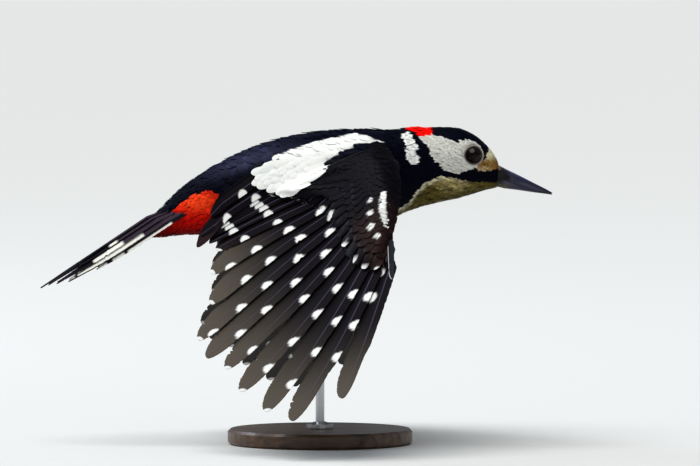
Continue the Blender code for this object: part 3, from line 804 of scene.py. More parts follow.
def lay_primary(feather):
    tip, ahead, behind = PRIMARIES[feather - 1][2:]
    start = fan_start(feather) - HAND_COVER.get(feather, FULL_COVER)

    def surface(t, across, rise):
        out, aft = fan_place(feather, start + (tip - start) * t, across)
        return wing_points(out, aft, rise + guided_lift(out, aft, feather, STACK_REACH))

    def paint(t, *place):
        return primary_paint(feather, tip, start + (tip - start) * t, t, *place)

    lay_vane(f"flight_feather_primary_{feather:02d}", f"primary_{feather:02d}", surface, tip - start,
             *primary_webs(feather, ahead, behind), paint, "flight_feathers")


def lay_tenth():
    def surface(t, across, rise):
        out, aft = fan_place(10, TENTH_LONG * t, across)
        return wing_points(out, aft, rise + TENTH_LIFT)

    def paint(t, across, from_front, from_back, under):
        return mix(spread(SLATE, t), VANE_WHITE * 0.7, oval(across * 0, 0, 1, from_back, 0.35))

    lay_vane("flight_feather_primary_10", "primary_10", surface, TENTH_LONG,
             *primary_webs(10, TENTH_AHEAD, TENTH_BEHIND), paint, "flight_feathers", TENTH_SHAFT)


lay_tenth()
for feather in range(9, 0, -1):
    lay_primary(feather)
print("ten primaries laid on both sides")

# %% [markdown]
# ## Inner wing
# The secondaries run straight aft beside each other, half folded, so that little more than their
# outer webs shows. The innermost ones, the tertials, are shorter and softer and cap the stack.
# Two of the solids stand for several feathers each. One wide vane with painted lines could stand for
# a stack too, but its end would be one smooth curve, so here each feather is laid on its own.

# %% Secondaries and tertials
# solid, running number, tip, width ahead, width behind, chord position of its spots, lean outward
INNER_ROWS = (
    ("secondary_1", 0.0, 83.6, 4.0, 5.4, (52.8, 69.5, 83.1), 0.0),
    ("secondary_2", -1.0, 85.0, 1.4, 5.2, (55.2, 72.8), 0.0),
    ("secondaries", -1.85, 86.0, 1.7, 4.8, (56.0, 73.6), 0.0),
    ("secondaries", -2.4, 86.6, 1.9, 4.8, (57.3, 74.8), 0.0),
    ("tertials", -3.0, 87.0, 2.4, 4.6, (58.7,), 0.3),
    ("tertials", -3.5, 90.8, 3.0, 4.6, (57.2, 73.0), 1.0),
    ("tertials", -4.7, 79.0, 2.9, 4.4, (61.8,), 0.8),
)
LEAN_FROM, LEAN_MORE, LEAN_NEAR, LEAN_FAR = 57.0, 15.0, 0.05, 0.26
TERTIAL_BROWN = np.array([0.026, 0.012, 0.013])
TERTIAL_REACH = -0.7
INNER_COVER = 12.0
OUTER_DROOP, INNER_DROOP = 1.6, 0.4


def lay_inner(order, node, number, tip, ahead, behind, spots, lean):
    middle = first_line(INNER_FROM) + inner_step(INNER_FROM) * number
    start = float(np.interp(middle, REAR_OUT, REAR_AFT)) - INNER_COVER
    front = frayed(ahead * rounded(alongs, 0.80), 2, 0.2)
    back = frayed(behind * rounded(alongs, 0.68), 3, 0.25)
    droop = OUTER_DROOP if number == 0.0 else INNER_DROOP

    def surface(t, across, rise):
        aft = start + (tip - start) * t
        out = first_line(aft) + inner_step(aft) * number + across
        lift = guided_lift(out, aft, number, TERTIAL_REACH if node == "tertials" else STACK_REACH)
        near, far = (np.maximum(aft - LEAN_FROM - more, 0) for more in (0.0, LEAN_MORE))
        out = out + lean * (LEAN_NEAR * near + LEAN_FAR * far)
        return wing_points(out, aft, rise + lift - droop * t ** 6)

    def paint(t, across, from_front, from_back, under):
        aft = start + (tip - start) * t
        color = vane_color(t, across, under, 0.70 if node == "secondary_1" else 0.98)
        for at in spots:
            deep = 1.6 if at > tip - 3 else 3.1
            color = mix(color, VANE_WHITE * 0.95, oval(aft, at, 2.2, from_front, deep))
        if lean == 1.0:
            color = mix(color, TERTIAL_BROWN, 0.85 * smooth_step(aft, 74.0, 84.0))
        return color

    lay_vane(f"flight_feather_inner_{order}", node, surface, tip - start, front, back, paint,
             "flight_feathers", 0.3)


for order, row in enumerate(INNER_ROWS, 1):
    lay_inner(order, *row)
print("inner feathers on each wing:", len(INNER_ROWS))

# %% [markdown]
# ## Tail
# A woodpecker leans on its tail, so the tail feathers are stiff and end in points, with thick
# shafts. They lie round a low roof whose ridge is the middle pair. The two outer pairs are white
# with black bars, and the middle ones are black. Bars in a striped material would run straight on
# over all the feathers, so each feather has its own list of white stretches instead.

# %% Tail feathers
TAIL_SLOPE = math.radians(33.5)
TAIL_TIP = (-127.0, 71.2)
TAIL_ARC, TAIL_STEP = 11.0, 2.9
TAIL_COVER, TAIL_TUCK = 6.0, 1.5
TAIL_BROWN = np.array([0.040, 0.028, 0.042])
TAIL_WARM = np.array([1.0, 0.98, 0.93])
# how far short of the longest point, where it leaves the body, outer width, inner width
TAIL_ROWS = ((0.0, 60.0, 4.0, 1.65), (3.8, 62.0, 3.6, 3.9), (7.4, 64.0, 3.4, 3.9),
             (12.5, 66.5, 3.0, 3.9), (26.3, 69.5, 1.8, 3.9))
# white stretches of each feather, measured back from the longest point, and their inner limit
TAIL_WHITE = (
    (),
    ((36.8, 41.0, 0.8),),
    ((27.0, 43.0, 0.6),),
    ((12.7, 16.0, -2.2), (17.5, 52.8, -2.4)),
    ((26.4, 31.8, -3.0), (34.7, 40.9, -3.0), (42.6, 66.5, 0.75)),
)


def tail_points(short, around, lift):
    turn = around / TAIL_ARC
    radius = TAIL_ARC + lift
    height = radius * np.cos(turn) - TAIL_ARC
    return np.stack([TAIL_TIP[0] + short * math.cos(TAIL_SLOPE) - height * math.sin(TAIL_SLOPE),
                     -radius * np.sin(turn),
                     TAIL_TIP[1] + short * math.sin(TAIL_SLOPE) + height * math.cos(TAIL_SLOPE)], -1)


def lay_tail(number, short, start, outer, inner):
    root = start + TAIL_COVER
    taper = 1.0 - 0.88 * np.clip((alongs - 0.55) / 0.45, 0, 1) ** 1.7
    front = frayed(outer * taper, 2, 0.3, 0.10)
    back = frayed(inner * taper, 3, 0.3, 0.10)

    def surface(t, across, rise):
        reach = root + (short - root) * t
        around = TAIL_STEP * (number - 0.5) + across
        lift = SLAT * (around / TAIL_STEP + 0.5 - number)
        tuck = TAIL_TUCK * np.clip((reach - start + 2.0) / TAIL_COVER, 0.0, 1.0)
        return tail_points(reach, around, lift + rise - tuck)

    def paint(t, across, from_front, from_back, under):
        reach = root + (short - root) * t
        above = smooth_step(reach, 34.0, 42.0) * (number <= 4)
        color = mix(spread(VANE_BASE * 1.2, t), TAIL_BROWN, above)
        color = mix(color, UNDER_TONE * 0.6, np.full(t.shape, 0.5 if under else 0.0))
        for low, high, limit in TAIL_WHITE[number - 1]:
            white = (smooth_step(reach, low - 0.5, low + 0.5)
                     * (1 - smooth_step(reach, high - 0.5, high + 0.5))
                     * smooth_step(across, limit - 0.4, limit + 0.4))
            if number == 4:
                white = white * smooth_step(from_front, 0.35, 0.75)
            color = mix(color, VANE_WHITE * TAIL_WARM, white)
        # paints a weaker highlight along the tail feather's shaft
        return mix(color, SHAFT_HIGHLIGHT * 0.5, 0.7 * (np.abs(across) < 0.35 * (1 - 0.5 * t)))

    lay_vane(f"tail_feather_{number}", f"tail_{number}", surface, root - short, front, back, paint,
             "tail_feathers", 0.55)


for number, row in enumerate(TAIL_ROWS, 1):
    lay_tail(number, *row)
print("tail feathers:", 2 * len(TAIL_ROWS))

# %% [markdown]
# ## Markings of the coat
# The same drawing colours the skin and every feather on it: black glossy back and crown, white
# shoulder patch and cheek, a scarlet nape patch that marks the male, a red vent and buff underparts.
# Light and shade are painted into some of it too: a blue sheen on the back, grey shade on the white
# cheek, a highlight and shade on the red vent, and shade on the buff below its upper border.
# Colouring each feather by hand would take days, and paint applied after the feathers are laid would
# smear across them. So the outlines are drawn once, in side view, and both sides read them. A feather takes
# its colour from the place its end reaches, so the borders come out ragged, as they are on a bird.

# %% Outlines of the markings (x and z in mm, seen from the side)
CHEEK = ((43.5, 139.5), (44.0, 141.0), (51.0, 141.0), (56.5, 139.5), (61.0, 138.0), (66.5, 139.0),
         (70.0, 138.0), (72.5, 136.0), (74.0, 132.0), (72.0, 127.0), (67.0, 125.0), (62.5, 123.5),
         (56.5, 125.0), (51.0, 130.5), (47.5, 137.0))
NECK_PATCH = ((39.0, 142.0), (40.5, 141.5), (43.0, 137.5), (45.0, 136.0), (43.5, 133.5),
              (45.0, 130.5), (44.0, 128.5), (41.0, 128.0), (39.5, 130.0), (38.0, 135.0), (37.0, 140.5))
NAPE_PATCH = ((36.5, 149.0), (38.8, 142.6), (41.5, 142.2), (44.0, 140.4), (50.8, 140.4), (50.2, 149.0))
FOREHEAD = ((76.5, 136.0), (79.0, 138.0), (84.0, 131.0), (83.0, 126.5), (76.5, 124.6), (70.5, 125.0),
            (71.0, 127.5), (74.5, 130.0), (76.0, 133.0))
SHOULDER_PATCH = ((28.5, 138.0), (24.5, 139.3), (20.5, 141.0), (15.0, 141.4), (5.5, 139.6),
                  (-7.0, 136.5), (-18.5, 132.5), (-28.0, 125.5), (-31.0, 121.0), (-29.0, 116.0),
                  (-25.0, 115.5), (-20.5, 112.0), (-16.0, 113.5), (-12.0, 116.5), (-4.5, 120.5),
                  (1.5, 121.5), (0.5, 125.5), (3.0, 130.5), (7.5, 132.5), (12.5, 135.0), (17.0, 137.5))
VENT = ((-69.0, 103.5), (-67.0, 106.8), (-63.0, 110.0), (-56.5, 113.8), (-50.0, 115.8),
        (-45.5, 114.0), (-46.0, 106.0), (-44.0, 84.0), (-80.0, 84.0), (-80.0, 93.0), (-74.0, 99.0))
# the line below which the bird is buff
UNDER_X = (-80.0, -45.0, -40.0, -10.0, 20.0, 34.0, 37.5, 40.5, 44.0, 48.0, 54.5, 62.5, 68.0, 84.0)
UNDER_Z = (84.0, 100.0, 110.0, 118.0, 115.0, 108.0, 109.0, 112.0, 116.0, 120.0, 122.5, 121.5, 120.0, 119.3)
# soft patches: middle, half length, half height, slope
# the back's patch is a painted sheen: a reflection painted into the coat's colour
PAINTED_SHEEN_PATCH = (-33.0, 129.5, 17.0, 3.6, 0.35)
PALE_THROAT = (59.5, 119.0, 6.5, 3.2)
# the rump's patch places a painted highlight on the vent's red
VENT_HIGHLIGHT_PATCH = (-56.0, 111.0, 9.0, 4.5)


def inside(outline, x, z):
    """Which points lie inside a closed outline."""
    hit = np.zeros(x.shape, bool)
    corners = list(outline)
    for (xa, za), (xb, zb) in zip(corners, corners[1:] + corners[:1]):
        crosses = (za > z) != (zb > z)
        with np.errstate(divide="ignore", invalid="ignore"):
            at = xa + (z - za) * (xb - xa) / (zb - za)
        hit ^= crosses & (x < at)
    return hit


def soft_patch(x, z, at_x, at_z, long, tall, slope=0.0):
    """1 in the middle of a slanted oval, fading to 0 around it."""
    return np.exp(-((x - at_x) / long) ** 2 - ((z - at_z - slope * (x - at_x)) / tall) ** 2)


print("white patches cover x from", min(p[0] for p in SHOULDER_PATCH), "to",
      max(p[0] for p in CHEEK), "mm")

# %% Colours of the coat
GLOSS_BLACK = np.array([0.0016, 0.0024, 0.0100])
# blue sheen painted on the back: a painted reflection of the sky, not a colour of the feathers
PAINTED_BLUE_SHEEN = np.array([0.048, 0.050, 0.105])
WHITE_COAT = np.array([0.84, 0.85, 0.82])
# the white cheek painted grey: painted shade on the cheek, which is as white as the neck
SHADED_CHEEK_WHITE = np.array([0.66, 0.655, 0.60])
# buff in painted shade: the underside darkened as if out of the light
SHADED_BUFF = np.array([0.115, 0.092, 0.022])
BUFF_PALE = np.array([0.62, 0.585, 0.43])
THROAT = np.array([0.47, 0.385, 0.18])
SCARLET = np.array([0.96, 0.004, 0.001])
# the orange and the near-black are a painted highlight and painted shade on the vent's own red
VENT_LIT_ORANGE = np.array([0.88, 0.072, 0.016])
VENT_RED = np.array([0.62, 0.006, 0.003])
VENT_PAINTED_SHADE = np.array([0.085, 0.004, 0.003])
CREAM = np.array([0.84, 0.79, 0.54])
OCHRE = np.array([0.33, 0.19, 0.055])
TAN = np.array([0.44, 0.34, 0.20])
BUFF_EDGE = 3.0            # width of the pale border where buff meets black


def underparts(x, z, line):
    """Buff, pale at its upper border and darkened below it by painted shade, darker towards the chin, paler
    on the throat, whiter between the wings.
    """
    # below the pale border the buff darkens into painted shade
    deep = np.maximum(smooth_step(line - z, 0.0, BUFF_EDGE), smooth_step(x, 62.0, 68.0))
    buff = mix(BUFF_PALE[None, :], SHADED_BUFF[None, :], deep)
    buff = mix(buff, THROAT[None, :], soft_patch(x, z, *PALE_THROAT))
    return mix(buff, WHITE_COAT[None, :] * 0.75, smooth_step(-x, -20.0, 20.0) * 0.6)


def vent_red(x, z):
    """Scarlet, with a painted orange highlight near the flank and painted shade underneath."""
    highlight = np.clip(1.3 * soft_patch(x, z, *VENT_HIGHLIGHT_PATCH), 0.0, 1.0)
    red = mix(VENT_RED[None, :], VENT_LIT_ORANGE[None, :], highlight)
    return mix(red, VENT_PAINTED_SHADE[None, :], smooth_step(-z, -103.0, -95.0))


def forehead(x, z):
    """Cream above the bill, ochre in front of the eye, tan below it."""
    color = mix(CREAM[None, :], OCHRE[None, :], smooth_step(-z, -132.0, -128.3))
    return mix(color, TAN[None, :], smooth_step(-z, -127.8, -125.6) * smooth_step(-x, -79.0, -74.0))


def marking(points):
    """Colour of the coat at points of the skin."""
    x, z = points[:, 0], points[:, 2]
    color = np.repeat(GLOSS_BLACK[None, :], len(points), 0)
    # paints a blue sheen, a painted reflection, over the black of the back
    color = mix(color, PAINTED_BLUE_SHEEN[None, :], 0.75 * soft_patch(x, z, *PAINTED_SHEEN_PATCH))
    line = np.interp(x, UNDER_X, UNDER_Z)
    color = np.where((z < line)[:, None], underparts(x, z, line), color)
    # the cheek's white is painted grey with painted shade
    for outline, paint in ((SHOULDER_PATCH, WHITE_COAT), (CHEEK, SHADED_CHEEK_WHITE), (NECK_PATCH, WHITE_COAT),
                           (VENT, vent_red(x, z)), (FOREHEAD, forehead(x, z)), (NAPE_PATCH, SCARLET)):
        color = np.where(inside(outline, x, z)[:, None], paint, color)
    return color


print("crown", marking(np.array([[62.0, 0.0, 145.0]])).round(3), "nape", SCARLET)

# %% Colour the skin itself
# painted shade: the skin is coloured darker than the coat so that the gaps between feathers read as shade
SKIN_SHADE = 0.7           # the skin is darker than the coat, so that gaps look deep
skin_tint = np.ones((len(skin_points), 4))
skin_tint[:, :3] = marking(skin_points) * SKIN_SHADE
layer = skin_mesh.color_attributes.new("Plumage", "FLOAT_COLOR", "POINT")
layer.data.foreach_set("color", skin_tint.ravel())
down_map = skin_mesh.uv_layers.new(name="Vane")
down_map.data.foreach_set("uv", (skin_uv * MAP_SPAN).ravel())
skin_mesh.materials.clear()
skin_mesh.materials.append(plumage_material("down_and_skin", 0.75, 60.0, 0.0001, 0.02))
skin_mesh.polygons.foreach_set("use_smooth", np.ones(len(skin_mesh.polygons), bool))
print("skin carries the same marks as the coat")

# %% [markdown]
# ## Where the feathers grow, and which way they lie
# Feathers never grow in a grid. Hair particles could scatter them, but they are lost when a model
# leaves Blender. The roots are scattered by throwing darts at the skin instead, keeping only those
# that fall far enough from the ones already there. Every feather lies away from the bill:
# round the eye, back along the neck and body, and down along the tail. Only the right half is
# scattered, and the left is its mirror image.

# %% Scatter the roots
DARTS = 4.5                # darts thrown for each square of the spacing
OVER_MIDDLE = 0.2          # mm by which the right half reaches over the middle line
skin_edges = skin_points[skin_triangles]
skin_areas = np.linalg.norm(np.cross(skin_edges[:, 1] - skin_edges[:, 0],
                                     skin_edges[:, 2] - skin_edges[:, 0]), axis=1) / 2.0
skin_middles = skin_edges.mean(1)
right_half = skin_middles[:, 1] < OVER_MIDDLE
middle_wing = np.ones(len(skin_middles))
middle_wing[right_half] = wingness(skin_middles[right_half])
NEXT_CELLS = [(a, b, c) for a in (-1, 0, 1) for b in (-1, 0, 1) for c in (-1, 0, 1)]


def apart(spots, spacing):
    """Numbers of the spots that keep their distance from all those kept before them."""
    cells, kept = {}, []
    places = spots.tolist()
    for i, (kx, ky, kz) in enumerate(np.floor(spots / spacing).astype(int).tolist()):
        x, y, z = places[i]
        near = (places[j] for a, b, c in NEXT_CELLS for j in cells.get((kx + a, ky + b, kz + c), ()))
        if all((x - px) ** 2 + (y - py) ** 2 + (z - pz) ** 2 >= spacing ** 2 for px, py, pz in near):
            cells.setdefault((kx, ky, kz), []).append(i)
            kept.append(i)
    return np.array(kept)


def scatter(chosen, spacing):
    """Points on the chosen triangles, none nearer to another than the spacing."""
    areas = np.where(chosen, skin_areas, 0.0)
    count = int(areas.sum() / spacing ** 2 * DARTS)
    picks = chance.choice(len(areas), count, p=areas / areas.sum())
    r, s = chance.random((2, count))
    flip = r + s > 1
    r, s = np.where(flip, 1 - r, r), np.where(flip, 1 - s, s)
    weights = np.stack([1 - r - s, r, s], -1)
    spots = (skin_edges[picks] * weights[:, :, None]).sum(1)
    kept = apart(spots, spacing)
    uv = (skin_uv[skin_loops[picks[kept]]] * weights[kept][:, :, None]).sum(1)
    return spots[kept], uv


print("skin area of one side:", round(float(skin_areas[right_half].sum()) / 100.0, 1), "cm2")

# %% The lie of the coat
BILL_BASE = np.array([84.0, 0.0, 120.0])
EYE = np.array([69.6, -9.15, 131.9])
TAIL_LIE = np.array([-math.cos(TAIL_SLOPE), 0.0, -math.sin(TAIL_SLOPE)])


def lie(points):
    """Direction that the coat lies in, before it is laid flat on the skin."""
    x = points[:, 0]
    from_bill = unit(points - BILL_BASE)
    along = np.repeat(np.array([[-1.0, 0.0, -0.10]]), len(points), 0)
    head = smooth_step(x, 40.0, 60.0)[:, None]
    rump = smooth_step(-x, 42.0, 60.0)[:, None]
    field = from_bill * head + along * (1 - head)
    return unit(field * (1 - rump) + TAIL_LIE * rump)


def flat_aim(roots, field):
    """A field of directions, laid flat on the skin at each root."""
    normal = nearest(skin_tree, roots)[1]
    return unit(field - normal * (field * normal).sum(1)[:, None])


def jitter(count, low, high):
    return chance.uniform(low, high, count)


print("the coat of the tail base lies at", lie(np.array([[-70.0, 0.0, 100.0]])).round(2))

# %% Two patterns of small feather
class Pattern:
    """Rows and columns of one kind of small feather, with teeth along its end."""

    def __init__(self, rows, columns, widths, teeth):
        self.rows, self.widths, self.teeth = rows, np.array(widths), teeth
        self.across = np.linspace(-1.0, 1.0, columns)
        grid = np.arange(len(rows) * columns).reshape(len(rows), columns)
        self.quads = grid_quads(grid)
        self.count = len(rows) * columns
        self.tips = np.zeros((0, 3), int)
        if teeth:
            apex = self.count + np.arange(columns - 1)
            self.tips = np.stack([grid[-1, :-1], grid[-1, 1:], apex], -1)
            self.count += columns - 1


DOWNY = Pattern((0.0, 0.42, 0.78), 4, (0.45, 1.0, 0.95), True)
BROAD = Pattern((0.0, 0.22, 0.45, 0.66, 0.82, 0.92, 0.98, 1.0), 7,
                (0.55, 0.85, 1.0, 1.0, 0.88, 0.66, 0.36, 0.10), False)
for kind, pattern in (("downy", DOWNY), ("broad", BROAD)):
    print(kind, "feather:", len(pattern.quads) * 2 + len(pattern.tips), "triangles")

# %% One way to lay every kind of small feather on the skin
PATCH = 0.003              # size of one feather's patch on the map that paint is baked to
BARB_LEAN = 0.8
NEXT_ON_MAP = 0.37         # each feather starts elsewhere in the barb pattern
STEADY = 0.8
LIFT_POWER = 0.8


def centre_lines(tree, roots, aim, lengths, rows):
    """Walks each feather's midline over the skin. Gives points and normals by row."""
    lines, normals = [], []
    spots, heading, last = roots, aim, 0.0
    for t in rows:
        spots, normal, _ = nearest(tree, spots + heading * (lengths * (t - last))[:, None])
        if normals:
            normal = unit(normal + normals[-1] * STEADY)
        heading = unit(heading - normal * (heading * normal).sum(1)[:, None])
        lines.append(spots)
        normals.append(normal)
        last = t
    return np.stack(lines, 1), np.stack(normals, 1)


def toothed_end(grid, a, ahead, lengths, along, over):
    """Adds a row of uneven teeth to the end of each feather."""
    count, columns = len(grid), len(a)
    left, right = grid[:, -1, :-1], grid[:, -1, 1:]
    jump = lengths[:, None] * chance.uniform(0.12, 0.34, (count, columns - 1))
    slide = chance.uniform(0.3, 0.7, (count, columns - 1))[..., None]
    tips = left * slide + right * (1 - slide) + ahead[:, -1:, :] * jump[..., None]
    middles = np.repeat(((a[:-1] + a[1:]) / 2)[None, :], count, 0)
    return (np.concatenate([grid.reshape(count, -1, 3), tips], 1),
            np.concatenate([along, np.ones((count, columns - 1))], 1),
            np.concatenate([over, middles], 1))


def lay_feathers(name, pattern, tree, roots, uv, aim, lengths, halves, rises, colors, finish,
                 root_shade=0.7, cup=0.10, sink=0.12):
    """Lays one feather at every root and mirrors them all to the left side."""
    lines, normals = centre_lines(tree, roots, aim, lengths, pattern.rows)
    ahead = unit(np.gradient(lines, axis=1))
    side = unit(np.cross(normals, ahead))
    t, a = np.array(pattern.rows)[None, :], pattern.across
    height = rises[:, None] * t ** LIFT_POWER - sink * (1 - t)
    wide = halves[:, None] * pattern.widths[None, :]
    middle = lines + normals * height[:, :, None]
    points = (middle[:, :, None, :] + side[:, :, None, :] * (wide[:, :, None] * a)[..., None]
              - normals[:, :, None, :] * (cup * wide[:, :, None] * a ** 2)[..., None])
    count = len(roots)
    along = np.broadcast_to(t[:, :, None], points.shape[:3]).reshape(count, -1)
    over = np.broadcast_to(a, points.shape[:3]).reshape(count, -1)
    if pattern.teeth:
        points, along, over = toothed_end(points, a, ahead, lengths, along, over)
    points = points.reshape(count, -1, 3)
    fade = (root_shade + (1 - root_shade) * smooth_step(along, 0.2, 0.75))[..., None]
    tint = ((colors(points) if callable(colors) else colors[:, None, :]) * fade).reshape(-1, 3)
    place = (uv[:, None, :] + np.stack([over * 0.5, along - 0.5], -1) * PATCH).reshape(-1, 2)
    beside = over * halves[:, None]
    barbs = (along * lengths[:, None] - BARB_LEAN * np.abs(beside)) / MAP_SPAN
    barbs = barbs + (np.arange(count) * NEXT_ON_MAP)[:, None]
    vane = np.stack([barbs, beside / MAP_SPAN], -1).reshape(-1, 2)
    shift = (np.arange(count) * pattern.count)[:, None, None]
    faces = [(group[:, ::-1][None] + shift).reshape(-1, group.shape[1])
             for group in (pattern.quads, pattern.tips) if len(group)]
    make_pair(name, points.reshape(-1, 3), faces, finish, "body_feathers", tint, place, vane)
    triangles = count * (len(pattern.quads) * 2 + len(pattern.tips))
    print(f"{name}: {count} feathers, {triangles} triangles on each side")


coat_finish = plumage_material("soft_coat", 0.50, 30.0, 0.00010, 0.012, 0.12)
print("coat finish ready")

# %% [markdown]
# ## Coat of the head, neck, breast and rump
# These are the smallest feathers: 2 mm on the face, 5 mm on the breast, with loose, toothed ends.
# Bump in a material would do on the face alone, but not on the outline of throat and breast, so all
# of them are real, in five zones that differ in size. Where the coat is buff, each feather takes its
# own shade along soft dark streaks, because the throat and breast look combed, not plain.

# %% Head, neck and body coat
x_mid, z_mid = skin_middles[:, 0], skin_middles[:, 2]
from_eye = np.linalg.norm(skin_middles - EYE, axis=1)
open_skin = right_half & (middle_wing < 0.75) & (from_eye > 4.2)
under_line = np.interp(x_mid, UNDER_X, UNDER_Z)
on_breast = open_skin & (x_mid > -44) & (x_mid <= 33) & (z_mid < under_line + 2)
# name, which skin, spacing, length, half width, rise of the end
COATS = (
    ("face_coat", open_skin & (x_mid > 66), 0.50, 1.9, 0.34, 0.45),
    ("head_coat", open_skin & (x_mid > 48) & (x_mid <= 66), 0.66, 2.9, 0.46, 0.75),
    ("neck_coat", open_skin & (x_mid > 33) & (x_mid <= 48), 0.85, 3.8, 0.62, 1.05),
    ("breast_coat", on_breast, 1.15, 5.2, 0.85, 1.25),
    ("rump_coat", open_skin & (x_mid <= -44), 0.95, 5.0, 0.62, 1.25),
)


def streaked(colors, ends):
    """Gives buff feathers lighter and darker streaks along the throat and breast."""
    x, z = ends[:, 0], ends[:, 2]
    wave = np.sin(x * 0.55 + 1.3 * np.sin(z * 1.1)) * np.sin(z * 2.1 + x * 0.3)
    streaks = 1.0 + 0.45 * wave + 0.22 * chance.standard_normal(len(ends))
    red, green = colors[:, 0], colors[:, 1]
    buff = (red < 0.62) & (red > 1.08 * green) & (green > 0.08) & (x < 78.0)
    return np.where(buff[:, None], colors * np.clip(streaks, 0.3, 2.0)[:, None], colors)


def lay_coat(name, chosen, spacing, length, half, rise):
    roots, uv = scatter(chosen, spacing)
    aim = flat_aim(roots, lie(roots) + 0.10 * chance.standard_normal(roots.shape))
    count = len(roots)
    lengths = length * jitter(count, 0.8, 1.2)
    ends = roots + aim * (lengths * 0.8)[:, None]
    colors = streaked(marking(ends) * jitter(count, 0.86, 1.14)[:, None], ends)
    lay_feathers(name, DOWNY, skin_tree, roots, uv, aim, lengths, half * jitter(count, 0.85, 1.2),
                 rise * jitter(count, 0.7, 1.1), colors, coat_finish)


for row in COATS:
    lay_coat(*row)

# %% [markdown]
# ## Back and shoulders
# The feathers of the back are broad and round, and lie like tiles with a blue-black gloss. Those of
# the shoulder are longer still and reach over the wing's root. The loose pattern of the breast would
# make them woolly, so they get a broad one of many rows, and each point of it is coloured half by
# where it lies and half by where its feather ends: black feathers keep whole, white ones fray.

# %% Back and shoulder feathers
on_back = open_skin & (x_mid > -44) & (x_mid <= 33) & (z_mid >= under_line + 1)
on_shoulder = on_back & (x_mid > -34) & (z_mid > 108)
rest_points, rest_triangles = solids(["tertials_right", "secondaries_right", "secondary_2_right"])
rest_tree = tree_over(np.concatenate([skin_points, rest_points]),
                      np.concatenate([skin_triangles, rest_triangles + len(skin_points)]))
BY_END = 0.38


def lay_broad(name, chosen, spacing, length, half, rise, slope, tree):
    roots, uv = scatter(chosen, spacing)
    field = np.repeat(np.array([[-1.0, 0.0, slope]]), len(roots), 0)
    aim = flat_aim(roots, field + 0.05 * chance.standard_normal(roots.shape))
    count = len(roots)
    lengths = length * jitter(count, 0.88, 1.12)
    ends = roots + aim * (lengths * 0.86)[:, None]
    shades = jitter(count, 0.65, 1.35)

    def colors(points):
        drawn = points * (1 - BY_END) + ends[:, None, :] * BY_END
        color = marking(drawn.reshape(-1, 3)).reshape(points.shape)
        return np.where(color.sum(-1, keepdims=True) > 1.0, color, color * shades[:, None, None])

    lay_feathers(name, BROAD, tree, roots, uv, aim, lengths, half * jitter(count, 0.9, 1.1),
                 rise * jitter(count, 0.75, 1.1), colors, coat_finish, 0.85, 0.12)


lay_broad("back_coat", on_back, 1.8, 7.5, 1.9, 1.0, -0.15, skin_tree)
lay_broad("shoulder_coat", on_shoulder, 2.2, 10.5, 2.3, 1.55, -0.33, rest_tree)

# %% [markdown]
# ## Coverts
# The bases of the flight feathers are roofed by coverts: a row of long ones, a row of shorter ones
# above, and small scale-like ones up to the front edge. Laid straight back, as on the body, they
# would cross the flight feathers. So they are laid in the wing's own directions, span and chord, and
# fan out with the flight feathers, each over its outer neighbour. A paler set does the same below.

# %% Span and chord of any point of the wing
LEAST_TURN, MOST_TURN = 20.0, 96.0
EDGE_TURN, EDGE_DEEP = 16.0, 10.0      # degrees by which coverts lean back at the front edge


def wing_place(points):
    """Span and chord of points near the right wing's sheet."""
    x, z = points[:, 0] - WING_ROOT[0], points[:, 2] - WING_ROOT[2]
    aft = x * CHORD[0] + z * CHORD[1]
    down = -x * CHORD[1] + z * CHORD[0]
    return np.interp(down, DOWNWAYS, OUTS), aft


def covert_turn(out, aft):
    """Direction in which the coverts lie, in degrees from straight out."""
    turn = np.degrees(np.arctan2(aft - FAN_AFT, out - FAN_OUT))
    at_edge = 1 - smooth_step(from_front_edge(out, aft), 0.0, EDGE_DEEP)
    return np.clip(turn + EDGE_TURN * at_edge, LEAST_TURN, MOST_TURN)


print("coverts over the wrist lie at", covert_turn(np.array([30.0]), np.array([15.0])).round(0), "degrees")

# %% Marks of the coverts
# where the coverts end, as chord position over span
COVER_OUT = (-6.0, 4.0, 11.0, 17.0, 28.0, 43.0, 57.0, 65.0, 71.0)
COVER_AFT = (52.0, 41.0, 31.0, 27.0, 29.3, 30.8, 30.0, 27.2, 20.6)
WHITE_DOTS = ((32.3, 10.5, 1.3), (38.7, 13.0, 1.6), (46.1, 15.0, 1.7), (53.1, 14.2, 1.5),
              (46.6, 29.6, 1.7), (57.3, 28.6, 1.8), (65.1, 25.7, 1.6), (70.2, 20.4, 1.8))
EDGE_STREAK = ((30.5, 3.0), (31.5, 4.8), (35.5, 7.3), (40.5, 8.9), (44.5, 9.3), (49.2, 9.3),
               (46.0, 7.4), (38.0, 4.7), (32.0, 2.5))
COVERT_BLACK = np.array([0.0055, 0.0048, 0.0082])
COVERT_BROWN = np.array([0.028, 0.015, 0.013])
UNDER_PALE = np.array([0.50, 0.48, 0.44])
UNDER_DARK = np.array([0.05, 0.045, 0.045])


def covert_marking(out, aft, under):
    """Black above with white dots and a brown hand, pale below with dark bars."""
    brown = smooth_step(out, 30, 46) * (1 - smooth_step(aft, 18, 28))
    color = mix(spread(COVERT_BLACK, out), COVERT_BROWN, 0.8 * brown)
    for spot_out, spot_aft, radius in WHITE_DOTS:
        ring = ((out - spot_out) ** 2 + (aft - spot_aft) ** 2) / radius ** 2
        color = mix(color, VANE_WHITE, 1 - smooth_step(ring, 0.7, 1.3))
    color = mix(color, VANE_WHITE, inside(EDGE_STREAK, out, aft))
    dark = (np.sin(out * 0.55 + aft * 0.2) * np.sin(aft * 0.5 - out * 0.12) > 0.35) * 0.8
    below = mix(spread(UNDER_PALE, out), UNDER_DARK, dark)
    below = mix(below, COVERT_BLACK, 1 - smooth_step(from_front_edge(out, aft), 2.0, 5.0))
    return np.where(np.asarray(under)[..., None], below, color)


print("white dots on each wing's coverts:", len(WHITE_DOTS))

